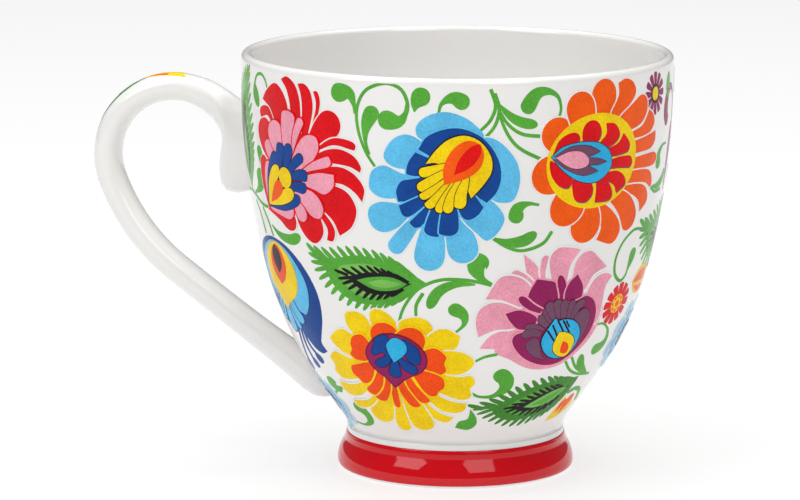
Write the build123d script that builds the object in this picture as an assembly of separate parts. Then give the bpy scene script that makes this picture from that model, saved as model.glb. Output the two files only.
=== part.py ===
from build123d import *
import math
import os

# A footed porcelain mug with a looped handle and printed enamel flowers.
# Millimetres, +Z up. The origin is the centre of the foot's rest plane, and the
# handle points along -X. Azimuths are degrees about +Z, counted from +X.

# Bowl: an upright lip band, two tangent arcs, a short cone and a fillet into the neck.
mug_height = 105.5
rim_radius = 54.0
wall_thickness = 2.9
lip_band_bottom = 99.2
upper_wall_radius = 190.0
upper_wall_tilt = 14.7
lower_wall_radius = 86.0
lower_wall_tilt = 35.2
neck_radius = 27.3
neck_fillet = 5.0
floor_thickness = 4.0
floor_fillet = 14.0

# Foot: a ring with an ogee outside and a tapering hollow under the bowl.
foot_radius = 29.75
foot_edge_round = 1.9
foot_hollow_radius = 24.0
foot_hollow_top_radius = 22.0
foot_inner_round = 1.0

# Handle: an oval strip that follows a loop, a wide bend and a straight run to the wall.
strip_thickness = 7.1
strip_width = 9.6
loop_centre_reach = 72.3
loop_centre_height = 76.8
loop_radius = 17.7
loop_start_angle = 125.0
loop_end_angle = -20.0
bend_radius = 50.5
bend_turn = 33.0
straight_length = 47.5
root_run = 13.0
spur_width = 7.6
spur_edge_round = 2.4
spur_lobe_radius = 3.1
spur_lobe_reach = 57.2
spur_lobe_height = 71.1
spur_shoulder_run = 9.0
spur_first_angle = 130.0
spur_last_angle = 172.0
spur_rounded_reach = 54.0

# Slip: the liquid clay that joins the cast pieces, left as low collars.
slip_height = 0.8
slip_margin = 1.3
slip_corner_radius = 5.5
upper_slip_heights = (65.8, 92.8)
lower_slip_heights = (14.8, 31.6)
foot_slip_fillet = 2.5
foot_slip_hollow = 0.75

# Enamel: skins of glaze paint fired on the surface.
enamel_thickness = 0.2
foot_band_top = 9.2
handle_enamel_first_angle = 74.0
handle_enamel_last_angle = 112.0
handle_enamel_width = 5.2

parts = {}


def on_circle(centre, radius, degrees):
    """A point on a circle that is drawn in the upright plane of reach and height."""
    angle = math.radians(degrees)
    return (centre[0] + radius * math.cos(angle), centre[1] + radius * math.sin(angle))


def upright(points):
    """Points of reach and height, stood up in the XZ plane."""
    return [(reach, 0, height) for reach, height in points]


def arc_about(centre, radius, first, last):
    """An arc in the XZ plane from one angle to another about a centre."""
    middle = (first + last) / 2
    ends = [on_circle(centre, radius, degrees) for degrees in (first, middle, last)]
    return ThreePointArc(*upright(ends))


def turned(edges):
    """The body of revolution that closed edges in the XZ plane sweep round the Z axis."""
    return revolve(make_face(edges), Axis.Z, 360)


# ---- Wall curves, from the rim down to the neck ------------------------------------------

upper_centre = (rim_radius - upper_wall_radius, lip_band_bottom)
wall_joint = on_circle(upper_centre, upper_wall_radius, -upper_wall_tilt)
lower_centre = on_circle(wall_joint, lower_wall_radius, 180 - upper_wall_tilt)
cone_top = on_circle(lower_centre, lower_wall_radius, -lower_wall_tilt)
fillet_top_reach = neck_radius + neck_fillet * (1 - math.cos(math.radians(lower_wall_tilt)))
cone_slope = 1 / math.tan(math.radians(lower_wall_tilt))
fillet_top_height = cone_top[1] - (cone_top[0] - fillet_top_reach) * cone_slope
neck_height = fillet_top_height - neck_fillet * math.sin(math.radians(lower_wall_tilt))
fillet_centre = (neck_radius + neck_fillet, neck_height)
fillet_top = (fillet_top_reach, fillet_top_height)
lip_radius = wall_thickness / 2
lip_height = mug_height - lip_radius


def wall_edges(shift):
    """The outer wall's edges from the lip to the neck, moved outwards by shift."""
    edges = [
        Line(*upright([(rim_radius, lip_height), (rim_radius, lip_band_bottom)])),
        arc_about(upper_centre, upper_wall_radius, 0, -upper_wall_tilt),
        arc_about(lower_centre, lower_wall_radius, -upper_wall_tilt, -lower_wall_tilt),
        Line(*upright([cone_top, fillet_top])),
        arc_about(fillet_centre, neck_fillet, 180 - lower_wall_tilt, 180),
    ]
    return [Pos(shift, 0, 0) * edge for edge in edges]


def wall_patch(azimuth, shift):
    """The body on the outer wall, shift deep, for half a turn about an azimuth."""
    ends = [
        Line(*upright([(rim_radius, lip_height), (rim_radius + shift, lip_height)])),
        Line(*upright([(neck_radius, neck_height), (neck_radius + shift, neck_height)])),
    ]
    half_turn = revolve(make_face(wall_edges(0) + wall_edges(shift) + ends), Axis.Z, 180)
    return Rot(0, 0, azimuth - 90) * half_turn


# ---- Bowl -----------------------------------------------------------------------------------

inner_upper_radius = upper_wall_radius - wall_thickness
inner_lower_radius = lower_wall_radius - wall_thickness
floor_height = neck_height + floor_thickness
inner_cone_top = on_circle(lower_centre, inner_lower_radius, -lower_wall_tilt)
floor_corner_reach = inner_cone_top[0] - (inner_cone_top[1] - floor_height) / cone_slope
floor_tangent = floor_fillet * math.tan(math.radians(90 - lower_wall_tilt) / 2)
floor_centre = (floor_corner_reach - floor_tangent, floor_height + floor_fillet)
floor_fillet_top = on_circle(floor_centre, floor_fillet, -lower_wall_tilt)
inner_lip = (rim_radius - wall_thickness, lip_height)
inner_band_bottom = (rim_radius - wall_thickness, lip_band_bottom)
inside_edges = [
    arc_about((rim_radius - lip_radius, lip_height), lip_radius, 0, 90),
    arc_about((rim_radius - lip_radius, lip_height), lip_radius, 90, 180),
    Line(*upright([inner_lip, inner_band_bottom])),
    arc_about(upper_centre, inner_upper_radius, 0, -upper_wall_tilt),
    arc_about(lower_centre, inner_lower_radius, -upper_wall_tilt, -lower_wall_tilt),
    Line(*upright([inner_cone_top, floor_fillet_top])),
    arc_about(floor_centre, floor_fillet, -lower_wall_tilt, -90),
    Line(*upright([(floor_centre[0], floor_height), (0, floor_height)])),
]
underside_edges = [
    Line(*upright([(0, floor_height), (0, neck_height)])),
    Line(*upright([(0, neck_height), (neck_radius, neck_height)])),
]
parts["bowl"] = turned(wall_edges(0) + inside_edges + underside_edges)

core_edges = [
    Line(*upright([(rim_radius, lip_height), (0, lip_height)])),
    Line(*upright([(0, lip_height), (0, neck_height)])),
    Line(*upright([(0, neck_height), (neck_radius, neck_height)])),
]
bowl_core = turned(wall_edges(0) + core_edges)


# ---- Foot -----------------------------------------------------------------------------------

ogee_width = foot_radius - neck_radius
ogee_height = neck_height - foot_edge_round
ogee_radius = (ogee_width ** 2 + ogee_height ** 2) / (4 * ogee_width)
ogee_turn = math.degrees(2 * math.atan2(ogee_width, ogee_height))
belly_centre = (foot_radius - ogee_radius, foot_edge_round)
waist_centre = (neck_radius + ogee_radius, neck_height)


def foot_outside(shift):
    """The foot's ogee, from the round of its lower edge to the neck."""
    edges = [
        arc_about(belly_centre, ogee_radius, 0, ogee_turn),
        arc_about(waist_centre, ogee_radius, 180 + ogee_turn, 180),
    ]
    return [Pos(shift, 0, 0) * edge for edge in edges]


edge_centre = (foot_radius - foot_edge_round, foot_edge_round)
inner_edge_centre = (foot_hollow_radius + foot_inner_round, foot_inner_round)
foot_edges = foot_outside(0) + [
    arc_about(edge_centre, foot_edge_round, -90, 0),
    Line(*upright([(edge_centre[0], 0), (inner_edge_centre[0], 0)])),
    arc_about(inner_edge_centre, foot_inner_round, 180, 270),
    Line(*upright([(foot_hollow_radius, foot_inner_round), (foot_hollow_top_radius, neck_height)])),
    Line(*upright([(foot_hollow_top_radius, neck_height), (neck_radius, neck_height)])),
]
parts["foot"] = turned(foot_edges)

slip_low_height = neck_height - foot_slip_fillet
hollow_taper = (foot_hollow_radius - foot_hollow_top_radius) / (neck_height - foot_inner_round)
slip_low_reach = foot_hollow_top_radius + hollow_taper * foot_slip_fillet
slip_inner_reach = foot_hollow_top_radius - foot_slip_fillet
slip_hollow = (foot_hollow_top_radius - foot_slip_hollow, neck_height - foot_slip_hollow)
slip_ends = [(slip_low_reach, slip_low_height), slip_hollow, (slip_inner_reach, neck_height)]
slip_corner = (foot_hollow_top_radius, neck_height)
parts["foot_slip_joint"] = turned([
    ThreePointArc(*upright(slip_ends)),
    Line(*upright([slip_ends[2], slip_corner])),
    Line(*upright([slip_corner, slip_ends[0]])),
])


# ---- Handle ---------------------------------------------------------------------------------

loop_centre = (loop_centre_reach, loop_centre_height)
loop_start = on_circle(loop_centre, loop_radius, loop_start_angle)
loop_end = on_circle(loop_centre, loop_radius, loop_end_angle)
bend_centre = on_circle(loop_end, bend_radius, loop_end_angle + 180)
bend_end = on_circle(bend_centre, bend_radius, loop_end_angle - bend_turn)
straight_heading = loop_end_angle - bend_turn - 90
strip_tip = on_circle(bend_end, straight_length, straight_heading)
root_end = on_circle(loop_start, root_run, loop_start_angle + 90)
strip_path = Wire([
    Line(*upright([root_end, loop_start])),
    arc_about(loop_centre, loop_radius, loop_start_angle, loop_end_angle),
    arc_about(bend_centre, bend_radius, loop_end_angle, loop_end_angle - bend_turn),
    Line(*upright([bend_end, strip_tip])),
])
root_plane = Plane(origin=strip_path @ 0, x_dir=(0, 1, 0), z_dir=strip_path % 0)
strip_section = root_plane * Ellipse(strip_width / 2, strip_thickness / 2)
strip = sweep(strip_section, path=strip_path)

tip_plane = Plane(origin=strip_path @ 1, x_dir=(0, 1, 0), z_dir=strip_path % 1)
tip_section = tip_plane * Ellipse(strip_width / 2, strip_thickness / 2)
half_section = tip_section & (tip_plane * Pos(0, strip_width / 2) * Rectangle(3 * strip_width, strip_width))
strip_end = revolve(half_section, Axis(strip_path @ 1, (0, 1, 0)), 360)

spur_inner_radius = loop_radius - strip_thickness / 2
lobe_centre = (spur_lobe_reach, spur_lobe_height)
spur_shoulder = (loop_centre_reach - spur_shoulder_run, loop_start[1])
spur_waist = on_circle(loop_centre, spur_inner_radius, spur_last_angle)
spur_face = make_face([
    Line(*upright([(root_end[0], loop_start[1]), spur_shoulder])),
    Line(*upright([spur_shoulder, on_circle(loop_centre, spur_inner_radius, spur_first_angle)])),
    arc_about(loop_centre, spur_inner_radius, spur_first_angle, spur_last_angle),
    Line(*upright([spur_waist, on_circle(lobe_centre, spur_lobe_radius, 0)])),
    arc_about(lobe_centre, spur_lobe_radius, 0, -90),
    Line(*upright([
        on_circle(lobe_centre, spur_lobe_radius, -90),
        (root_end[0], spur_lobe_height - spur_lobe_radius),
    ])),
    Line(*upright([(root_end[0], spur_lobe_height - spur_lobe_radius), (root_end[0], loop_start[1])])),
])
spur = extrude(spur_face, spur_width / 2, dir=(0, 1, 0), both=True)
spur_edges = spur.edges().filter_by(Axis.Y, reverse=True)
spur_edges = spur_edges.filter_by(lambda edge: edge.center().X > spur_rounded_reach)
spur = fillet(spur_edges, spur_edge_round)
handle_outward = strip + strip_end + spur - bowl_core
parts["handle"] = mirror(handle_outward, Plane.YZ)

slip_shell = wall_patch(180, slip_height)


def slip_collar(low, high):
    """A low collar of slip round a handle root, between two heights on the wall."""
    width = strip_width + 2 * slip_margin
    block = extrude(
        Plane(origin=(0, 0, (low + high) / 2), x_dir=(0, 1, 0), z_dir=(-1, 0, 0))
        * RectangleRounded(width, high - low, slip_corner_radius),
        rim_radius + 10,
    )
    return (slip_shell & block) - parts["handle"]


parts["upper_slip_joint"] = slip_collar(*upper_slip_heights)
parts["lower_slip_joint"] = slip_collar(*lower_slip_heights)


# ---- Enamel band and handle sprig -------------------------------------------------------------

belly_turn = math.degrees(math.asin((ogee_height / 2) / ogee_radius))
band_top_turn = math.degrees(math.asin((neck_height - foot_band_top) / ogee_radius))


def band_curve(shift):
    """The stretch of the foot's ogee that the red enamel covers."""
    edges = [
        arc_about(belly_centre, ogee_radius, 0, belly_turn),
        arc_about(waist_centre, ogee_radius, 180 + belly_turn, 180 + band_top_turn),
    ]
    return [Pos(shift, 0, 0) * edge for edge in edges]


band_low = (foot_radius, foot_edge_round)
band_high = on_circle(waist_centre, ogee_radius, 180 + band_top_turn)
parts["foot_band"] = turned(band_curve(0) + band_curve(enamel_thickness) + [
    Line(*upright([band_low, (band_low[0] + enamel_thickness, band_low[1])])),
    Line(*upright([band_high, (band_high[0] + enamel_thickness, band_high[1])])),
])

start_angle = math.radians(handle_enamel_last_angle)
handle_enamel_plane = Plane(
    origin=upright([on_circle(loop_centre, loop_radius, handle_enamel_last_angle)])[0],
    x_dir=(0, 1, 0),
    z_dir=(math.sin(start_angle), 0, -math.cos(start_angle)),
)
enamel_ellipse = Ellipse(strip_width / 2 + enamel_thickness, strip_thickness / 2 + enamel_thickness)
enamel_side = Pos(0, strip_thickness / 2) * Rectangle(handle_enamel_width, strip_thickness)
enamel_section = (enamel_ellipse - Ellipse(strip_width / 2, strip_thickness / 2)) & enamel_side
handle_enamel = revolve(
    handle_enamel_plane * enamel_section,
    Axis(upright([loop_centre])[0], (0, 1, 0)),
    handle_enamel_last_angle - handle_enamel_first_angle,
)
parts["handle_enamel"] = mirror(handle_enamel, Plane.YZ)


# ---- Flower outlines, flat, with x along the wall and y up ------------------------------------

def petal_arcs(points):
    """One arc for each petal: points run valley, crest, valley, crest, valley."""
    starts = range(0, len(points) - 2, 2)
    return [ThreePointArc(points[start], points[start + 1], points[start + 2]) for start in starts]


def rosette(width, height, petals, scallop=0.12):
    """A round flower: a closed chain of petal arcs."""
    points = []
    for step in range(2 * petals + 1):
        angle = math.pi * step / petals
        reach = 1 - scallop * ((step + 1) % 2)
        points.append((width / 2 * reach * math.cos(angle), height / 2 * reach * math.sin(angle)))
    points[-1] = points[0]
    return make_face(petal_arcs(points))


def fan(reach, spread, petals, scallop=0.07):
    """A fan flower: petal arcs about the point where the petals meet."""
    points = []
    for step in range(2 * petals + 1):
        angle = math.radians(spread * (step / (2 * petals) - 0.5))
        crest = reach * (1 - scallop * ((step + 1) % 2))
        points.append((crest * math.cos(angle), crest * math.sin(angle)))
    return make_face([Line((0, 0), points[0]), *petal_arcs(points), Line(points[-1], (0, 0))])


def drop(length, width):
    """A drop: a round end and two straight sides that meet in a point at the origin."""
    radius = width / 2
    distance = length - radius
    half_angle = math.degrees(math.acos(radius / distance))
    sides = [on_circle((distance, 0), radius, 180 + sign * half_angle) for sign in (-1, 1)]
    return make_face([
        Line((0, 0), sides[0]),
        ThreePointArc(sides[0], (length, 0), sides[1]),
        Line(sides[1], (0, 0)),
    ])


def leaf(length, width):
    """A leaf: two arcs between its stalk and its tip."""
    return make_face([
        ThreePointArc((-length / 2, 0), (0, width / 2), (length / 2, 0)),
        ThreePointArc((length / 2, 0), (0, -width / 2), (-length / 2, 0)),
    ])


def on_wall(outline, azimuth, height, turn=0.0):
    """An enamel skin: the flat outline turned, pressed on to the wall, one thickness deep."""
    angle = math.radians(azimuth)
    plane = Plane(
        origin=(0, 0, height),
        x_dir=(-math.sin(angle), math.cos(angle), 0),
        z_dir=(math.cos(angle), math.sin(angle), 0),
    )
    stamp = extrude(plane * Rot(0, 0, turn) * outline, rim_radius + 2)
    return wall_patch(azimuth, enamel_thickness) & stamp


# Flowers and leaves: outline, azimuth, height and turn.
flowers = {
    "red_fan_flower": (fan(33, 108, 9), -143, 69.1, 42),
    "blue_rosette": (rosette(37, 38, 12), -84, 78.3, 0),
    "orange_rosette": (rosette(42, 39, 15), -37, 82.0, 0),
    "peacock_flower": (drop(33, 25), -144, 34.0, 100),
    "upper_feather_leaf": (leaf(33, 12), -108.5, 55.8, -12),
    "yellow_rosette": (rosette(38, 33, 13), -102.4, 30.6, 0),
    "pink_tulip": (rosette(34, 30, 9), -52, 46.9, 0),
    "lower_feather_leaf": (leaf(27, 11), -50, 24.0, 8),
    "plum_daisy": (rosette(10.4, 10.4, 10), -14.4, 97.0, 0),
    "red_daisy": (rosette(11.4, 10.8, 10), -20.5, 46.3, 0),
    "right_feather_leaf": (leaf(22, 11), -10.5, 63.5, 0),
    "plum_scroll": (drop(22, 8), -3.5, 72.0, 92),
    "pale_blue_flower": (rosette(17, 17, 8), -6.0, 35.0, 0),
    "left_feather_leaf": (leaf(20, 10), -153.5, 88.0, 90),
    "left_pale_flower": (rosette(13, 11, 8), -149.0, 24.0, 0),
    "back_red_fan_flower": (fan(33, 108, 9), 143, 69.1, 138),
    "back_blue_rosette": (rosette(37, 38, 12), 84, 78.3, 0),
    "back_orange_rosette": (rosette(42, 39, 15), 37, 82.0, 0),
    "back_feather_leaf": (leaf(33, 12), 108.5, 55.8, 12),
    "back_yellow_rosette": (rosette(38, 33, 13), 102.4, 30.6, 0),
    "back_pink_tulip": (rosette(34, 30, 9), 52, 46.9, 0),
    "back_peacock_flower": (drop(31, 23), 146, 34.0, 80),
    "back_low_leaf": (leaf(27, 11), 50, 24.0, -8),
    "back_plum_daisy": (rosette(10.4, 10.4, 10), 12.5, 97.0, 0),
    "back_red_daisy": (rosette(11.4, 10.8, 10), 18.0, 46.3, 0),
}
for name, (outline, azimuth, height, turn) in flowers.items():
    parts[name] = on_wall(outline, azimuth, height, turn)

# Sprigs of small leaves between the flowers: azimuth, height and turn of each leaf's stalk.
sprig_leaf_length = 7.5
sprig_leaf_width = 4.0
sprig_leaves = {
    "rim_sprigs": [
        (-107, 97, 10), (-97, 96, 160), (-64, 98, 170), (-60, 92, 200), (110, 96, 40), (64, 96, 150),
    ],
    "middle_sprigs": [
        (-61, 68.5, 90), (-72, 57.5, 30), (-80, 51, -60), (61, 68.5, 90), (72, 57.5, 150), (80, 51, 240),
    ],
    "base_sprigs": [
        (-72, 15.5, 0), (-145, 15.5, 0), (-27, 33, 85), (72, 15.5, 180), (145, 15.5, 180), (27, 33, 95),
    ],
}
for name, leaves in sprig_leaves.items():
    outline = drop(sprig_leaf_length, sprig_leaf_width)
    parts[name] = Compound([on_wall(outline, *place) for place in leaves])

os.makedirs("parts", exist_ok=True)
for name, shape in parts.items():
    export_step(shape, f"parts/{name}.step")
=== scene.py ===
import math
import bmesh
import bpy
from mathutils import Matrix, Vector


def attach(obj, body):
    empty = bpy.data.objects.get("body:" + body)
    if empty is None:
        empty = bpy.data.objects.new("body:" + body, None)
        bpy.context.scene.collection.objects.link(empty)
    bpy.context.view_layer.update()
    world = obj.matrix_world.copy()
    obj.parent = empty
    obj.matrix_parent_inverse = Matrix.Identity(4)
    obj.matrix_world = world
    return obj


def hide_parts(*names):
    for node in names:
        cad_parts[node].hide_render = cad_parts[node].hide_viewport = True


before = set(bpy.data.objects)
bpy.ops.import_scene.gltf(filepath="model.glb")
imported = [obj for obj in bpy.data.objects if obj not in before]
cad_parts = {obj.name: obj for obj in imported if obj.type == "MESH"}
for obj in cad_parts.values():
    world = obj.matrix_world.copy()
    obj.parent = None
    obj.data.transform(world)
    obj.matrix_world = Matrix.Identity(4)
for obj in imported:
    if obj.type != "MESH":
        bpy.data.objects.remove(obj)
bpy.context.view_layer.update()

MM = 0.001


# ---- Camera and studio ----------------------------------------------------------------------
# A long lens a metre away, 13 cm above the rim, looks down at the mug. Two softboxes
# and a large overhead panel light it on a pale table.

view_azimuth = 10.0
camera_reach = 1040.7 * MM
camera_height = 237.9 * MM
camera_pan = 0.78
camera_pitch = 9.97
camera_roll = 0.17

camera = bpy.data.objects.new("camera", bpy.data.cameras.new("camera"))
camera.data.lens = 189.1
camera.data.sensor_width = 36.0
azimuth = math.radians(view_azimuth)
stand = Matrix.Translation((camera_reach * math.sin(azimuth), -camera_reach * math.cos(azimuth),
                            camera_height))
aim = Matrix.Rotation(azimuth + math.radians(camera_pan), 4, "Z")
tilt = Matrix.Rotation(math.radians(90 - camera_pitch), 4, "X")
roll = Matrix.Rotation(math.radians(camera_roll), 4, "Z")
camera.matrix_world = stand @ aim @ tilt @ roll
bpy.context.collection.objects.link(camera)
bpy.context.scene.camera = camera
bpy.context.scene.view_settings.view_transform = "Standard"


def softbox(name, place, aim_at, size, power):
    """A rectangular lamp at a place, in metres, that faces a point."""
    lamp = bpy.data.lights.new(name, "AREA")
    lamp.shape = "RECTANGLE"
    lamp.size, lamp.size_y = size
    lamp.energy = power
    holder = bpy.data.objects.new(name, lamp)
    heading = Vector(aim_at) - Vector(place)
    holder.matrix_world = Matrix.Translation(place) @ heading.to_track_quat("-Z", "Y").to_matrix().to_4x4()
    bpy.context.collection.objects.link(holder)


middle = (0, 0, 0.06)
softbox("left_softbox", (-0.75, -0.85, 0.95), middle, (0.7, 0.95), 6.5)
softbox("right_softbox", (0.75, -1.0, 0.9), middle, (0.7, 0.95), 5.0)
softbox("overhead_panel", (0, 0.1, 1.5), middle, (1.6, 1.6), 24)

world = bpy.data.worlds.new("studio")
world.use_nodes = True
world.node_tree.nodes["Background"].inputs["Color"].default_value = (1, 1, 1, 1)
world.node_tree.nodes["Background"].inputs["Strength"].default_value = 0.17
bpy.context.scene.world = world


def principled(name, **values):
    """A material with one Principled shader, its sockets set by name; returns both."""
    material = bpy.data.materials.new(name)
    material.use_nodes = True
    shader = material.node_tree.nodes["Principled BSDF"]
    for socket, value in values.items():
        shader.inputs[socket.replace("_", " ")].default_value = value
    return material, shader


table_material, _ = principled("pale_table", Base_Color=(0.3, 0.3, 0.3, 1), Roughness=0.7,
                               Emission_Color=(1, 1, 1, 1), Emission_Strength=0.68)
bm = bmesh.new()
bmesh.ops.create_grid(bm, x_segments=1, y_segments=1, size=3.0)
table_mesh = bpy.data.meshes.new("table")
bm.to_mesh(table_mesh)
bm.free()
table = bpy.data.objects.new("table", table_mesh)
table.data.materials.append(table_material)
bpy.context.collection.objects.link(table)


# ---- Bowl -----------------------------------------------------------------------------------
# The bowl is thin white porcelain, cast and turned, under a clear glossy glaze. Its wall is
# an upright lip band, two tangent arcs, a short cone and a hollow fillet into the neck.

rim_radius = 54.0
mug_height = 105.5
wall_thickness = 2.9
lip_band_bottom = 99.2
upper_wall_radius = 190.0
upper_wall_tilt = math.radians(14.7)
lower_wall_radius = 86.0
lower_wall_tilt = math.radians(35.2)
neck_radius = 27.3
neck_fillet = 5.0
floor_thickness = 4.0
floor_fillet = 14.0
turns = 256


def on_circle(centre, radius, angle):
    """The point of a circle at an angle in the plane of reach and height."""
    return Vector((centre[0] + radius * math.cos(angle), centre[1] + radius * math.sin(angle)))


upper_centre = Vector((rim_radius - upper_wall_radius, lip_band_bottom))
wall_joint = on_circle(upper_centre, upper_wall_radius, -upper_wall_tilt)
lower_centre = on_circle(wall_joint, lower_wall_radius, math.pi - upper_wall_tilt)
cone_top = on_circle(lower_centre, lower_wall_radius, -lower_wall_tilt)
fillet_top_reach = neck_radius + neck_fillet * (1 - math.cos(lower_wall_tilt))
cone_length = (cone_top[0] - fillet_top_reach) / math.sin(lower_wall_tilt)
fillet_top_height = cone_top[1] - cone_length * math.cos(lower_wall_tilt)
neck_height = fillet_top_height - neck_fillet * math.sin(lower_wall_tilt)
fillet_centre = Vector((neck_radius + neck_fillet, neck_height))
lip_radius = wall_thickness / 2
lip_height = mug_height - lip_radius

fillet_end = neck_fillet * lower_wall_tilt
cone_end = fillet_end + cone_length
lower_end = cone_end + lower_wall_radius * (lower_wall_tilt - upper_wall_tilt)
upper_end = lower_end + upper_wall_radius * upper_wall_tilt
wall_end = upper_end + lip_height - lip_band_bottom


def wall(climb):
    """Reach, height and tilt of the outer wall, a climb in millimetres up from the neck."""
    if climb < fillet_end:
        tilt = climb / neck_fillet
        return *on_circle(fillet_centre, neck_fillet, math.pi - tilt), tilt
    if climb < cone_end:
        left = cone_end - climb
        foot = cone_top - left * Vector((math.sin(lower_wall_tilt), math.cos(lower_wall_tilt)))
        return *foot, lower_wall_tilt
    if climb < lower_end:
        tilt = lower_wall_tilt - (climb - cone_end) / lower_wall_radius
        return *on_circle(lower_centre, lower_wall_radius, -tilt), tilt
    if climb < upper_end:
        tilt = (upper_end - climb) / upper_wall_radius
        return *on_circle(upper_centre, upper_wall_radius, -tilt), tilt
    return rim_radius, lip_band_bottom + climb - upper_end, 0.0


def climb_at(height):
    """The climb up the outer wall that reaches a height, by halving."""
    low, high = 0.0, wall_end
    for _ in range(40):
        climb = (low + high) / 2
        if wall(climb)[1] < height:
            low = climb
        else:
            high = climb
    return low


def steps(first, last, count):
    """Evenly spaced values from first to last, both included."""
    return [first + (last - first) * step / count for step in range(count + 1)]


def turn_on_wheel(name, profile, closed=False):
    """A piece of revolution: a profile of reach and height in millimetres, spun round Z."""
    bm = bmesh.new()
    verts = [bm.verts.new((reach * MM, 0, height * MM)) for reach, height in profile]
    pairs = list(zip(verts, verts[1:])) + ([(verts[-1], verts[0])] if closed else [])
    edges = [bm.edges.new(pair) for pair in pairs]
    bmesh.ops.spin(bm, geom=verts + edges, cent=(0, 0, 0), axis=(0, 0, 1), dvec=(0, 0, 0),
                   angle=2 * math.pi, steps=turns, use_merge=True)
    bmesh.ops.remove_doubles(bm, verts=bm.verts[:], dist=1e-6)
    bmesh.ops.recalc_face_normals(bm, faces=bm.faces[:])
    return finish_piece(name, bm)


def finish_piece(name, bm):
    """The bmesh as a smooth-shaded object that rides on the mug."""
    mesh = bpy.data.meshes.new(name)
    for face in bm.faces:
        face.smooth = True
    bm.to_mesh(mesh)
    bm.free()
    piece = bpy.data.objects.new(name, mesh)
    bpy.context.collection.objects.link(piece)
    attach(piece, "root")
    return piece


def glaze_material():
    """Clear glaze over white porcelain: faintly warm, a little light inside, barely rippled."""
    material, shader = principled(
        "white_glaze", Base_Color=(0.86, 0.845, 0.82, 1), Roughness=0.07, IOR=1.5,
        Subsurface_Weight=0.06, Subsurface_Scale=0.004, Coat_Weight=0.35, Coat_Roughness=0.03,
    )
    nodes, links = material.node_tree.nodes, material.node_tree.links
    place = nodes.new("ShaderNodeTexCoord")
    tint = nodes.new("ShaderNodeTexNoise")
    tint.inputs["Scale"].default_value = 18
    tint.inputs["Detail"].default_value = 2
    links.new(place.outputs["Object"], tint.inputs["Vector"])
    blend = nodes.new("ShaderNodeMix")
    blend.data_type = "RGBA"
    blend.inputs["A"].default_value = (0.872, 0.858, 0.835, 1)
    blend.inputs["B"].default_value = (0.848, 0.84, 0.826, 1)
    links.new(tint.outputs["Fac"], blend.inputs["Factor"])
    links.new(blend.outputs["Result"], shader.inputs["Base Color"])
    ripple = nodes.new("ShaderNodeTexNoise")
    ripple.inputs["Scale"].default_value = 45
    ripple.inputs["Detail"].default_value = 1
    links.new(place.outputs["Object"], ripple.inputs["Vector"])
    bump = nodes.new("ShaderNodeBump")
    bump.inputs["Strength"].default_value = 0.04
    bump.inputs["Distance"].default_value = 0.0006
    links.new(ripple.outputs["Fac"], bump.inputs["Height"])
    links.new(bump.outputs["Normal"], shader.inputs["Normal"])
    return material


white_glaze = glaze_material()

inner_upper = upper_wall_radius - wall_thickness
inner_lower = lower_wall_radius - wall_thickness
floor_height = neck_height + floor_thickness
inner_cone_top = on_circle(lower_centre, inner_lower, -lower_wall_tilt)
floor_corner = inner_cone_top[0] - (inner_cone_top[1] - floor_height) * math.tan(lower_wall_tilt)
floor_tangent = floor_fillet * math.tan((math.pi / 2 - lower_wall_tilt) / 2)
floor_centre = Vector((floor_corner - floor_tangent, floor_height + floor_fillet))

bowl_profile = [(0, neck_height), (neck_radius - 1.0, neck_height)]
bowl_profile += [wall(climb)[:2] for climb in steps(0, wall_end, 72)]
bowl_profile += [on_circle((rim_radius - lip_radius, lip_height), lip_radius, angle)
                 for angle in steps(0, math.pi, 12)[1:]]
bowl_profile += [on_circle(upper_centre, inner_upper, -angle) for angle in steps(0, upper_wall_tilt, 30)]
bowl_profile += [on_circle(lower_centre, inner_lower, -angle)
                 for angle in steps(upper_wall_tilt, lower_wall_tilt, 20)[1:]]
bowl_profile += [on_circle(floor_centre, floor_fillet, -angle)
                 for angle in steps(lower_wall_tilt, math.pi / 2, 12)]
bowl_profile += [(reach, floor_height) for reach in steps(floor_centre[0], 0, 6)[1:]]
bowl = turn_on_wheel("glazed_bowl", bowl_profile)
bowl.data.materials.append(white_glaze)
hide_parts("bowl")


# ---- Foot -----------------------------------------------------------------------------------
# The pedestal ring is made apart and luted on. An ogee runs from its rounded lower edge
# up to the neck, and its hollow tapers upwards. It carries the same clear glaze as the bowl.

foot_radius = 29.75
foot_edge_round = 1.9
foot_hollow_radius = 24.0
foot_hollow_top = 22.0
foot_inner_round = 1.0
foot_slip_fillet = 2.5

ogee_width = foot_radius - neck_radius
ogee_height = neck_height - foot_edge_round
ogee_radius = (ogee_width ** 2 + ogee_height ** 2) / (4 * ogee_width)
ogee_turn = 2 * math.atan2(ogee_width, ogee_height)
belly_centre = Vector((foot_radius - ogee_radius, foot_edge_round))
waist_centre = Vector((neck_radius + ogee_radius, neck_height))
edge_centre = Vector((foot_radius - foot_edge_round, foot_edge_round))
inner_edge_centre = Vector((foot_hollow_radius + foot_inner_round, foot_inner_round))

foot_profile = [on_circle(edge_centre, foot_edge_round, angle) for angle in steps(-math.pi / 2, 0, 10)]
foot_profile += [on_circle(belly_centre, ogee_radius, angle) for angle in steps(0, ogee_turn, 10)[1:]]
foot_profile += [on_circle(waist_centre, ogee_radius, math.pi + angle)
                 for angle in steps(ogee_turn, 0, 10)[1:]]
foot_profile += [(foot_hollow_top, neck_height), (foot_hollow_radius, foot_inner_round)]
foot_profile += [on_circle(inner_edge_centre, foot_inner_round, angle)
                 for angle in steps(math.pi, 1.5 * math.pi, 6)[1:]]
foot = turn_on_wheel("foot_ring", foot_profile, closed=True)
foot.data.materials.append(white_glaze)
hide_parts("foot")


# ---- Handle ---------------------------------------------------------------------------------
# The handle is cast in a two-part mould: an oval strip that loops round, bends wide and runs
# straight to the wall. A blunt spur hangs below its upper root. It is luted on with slip.

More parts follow.
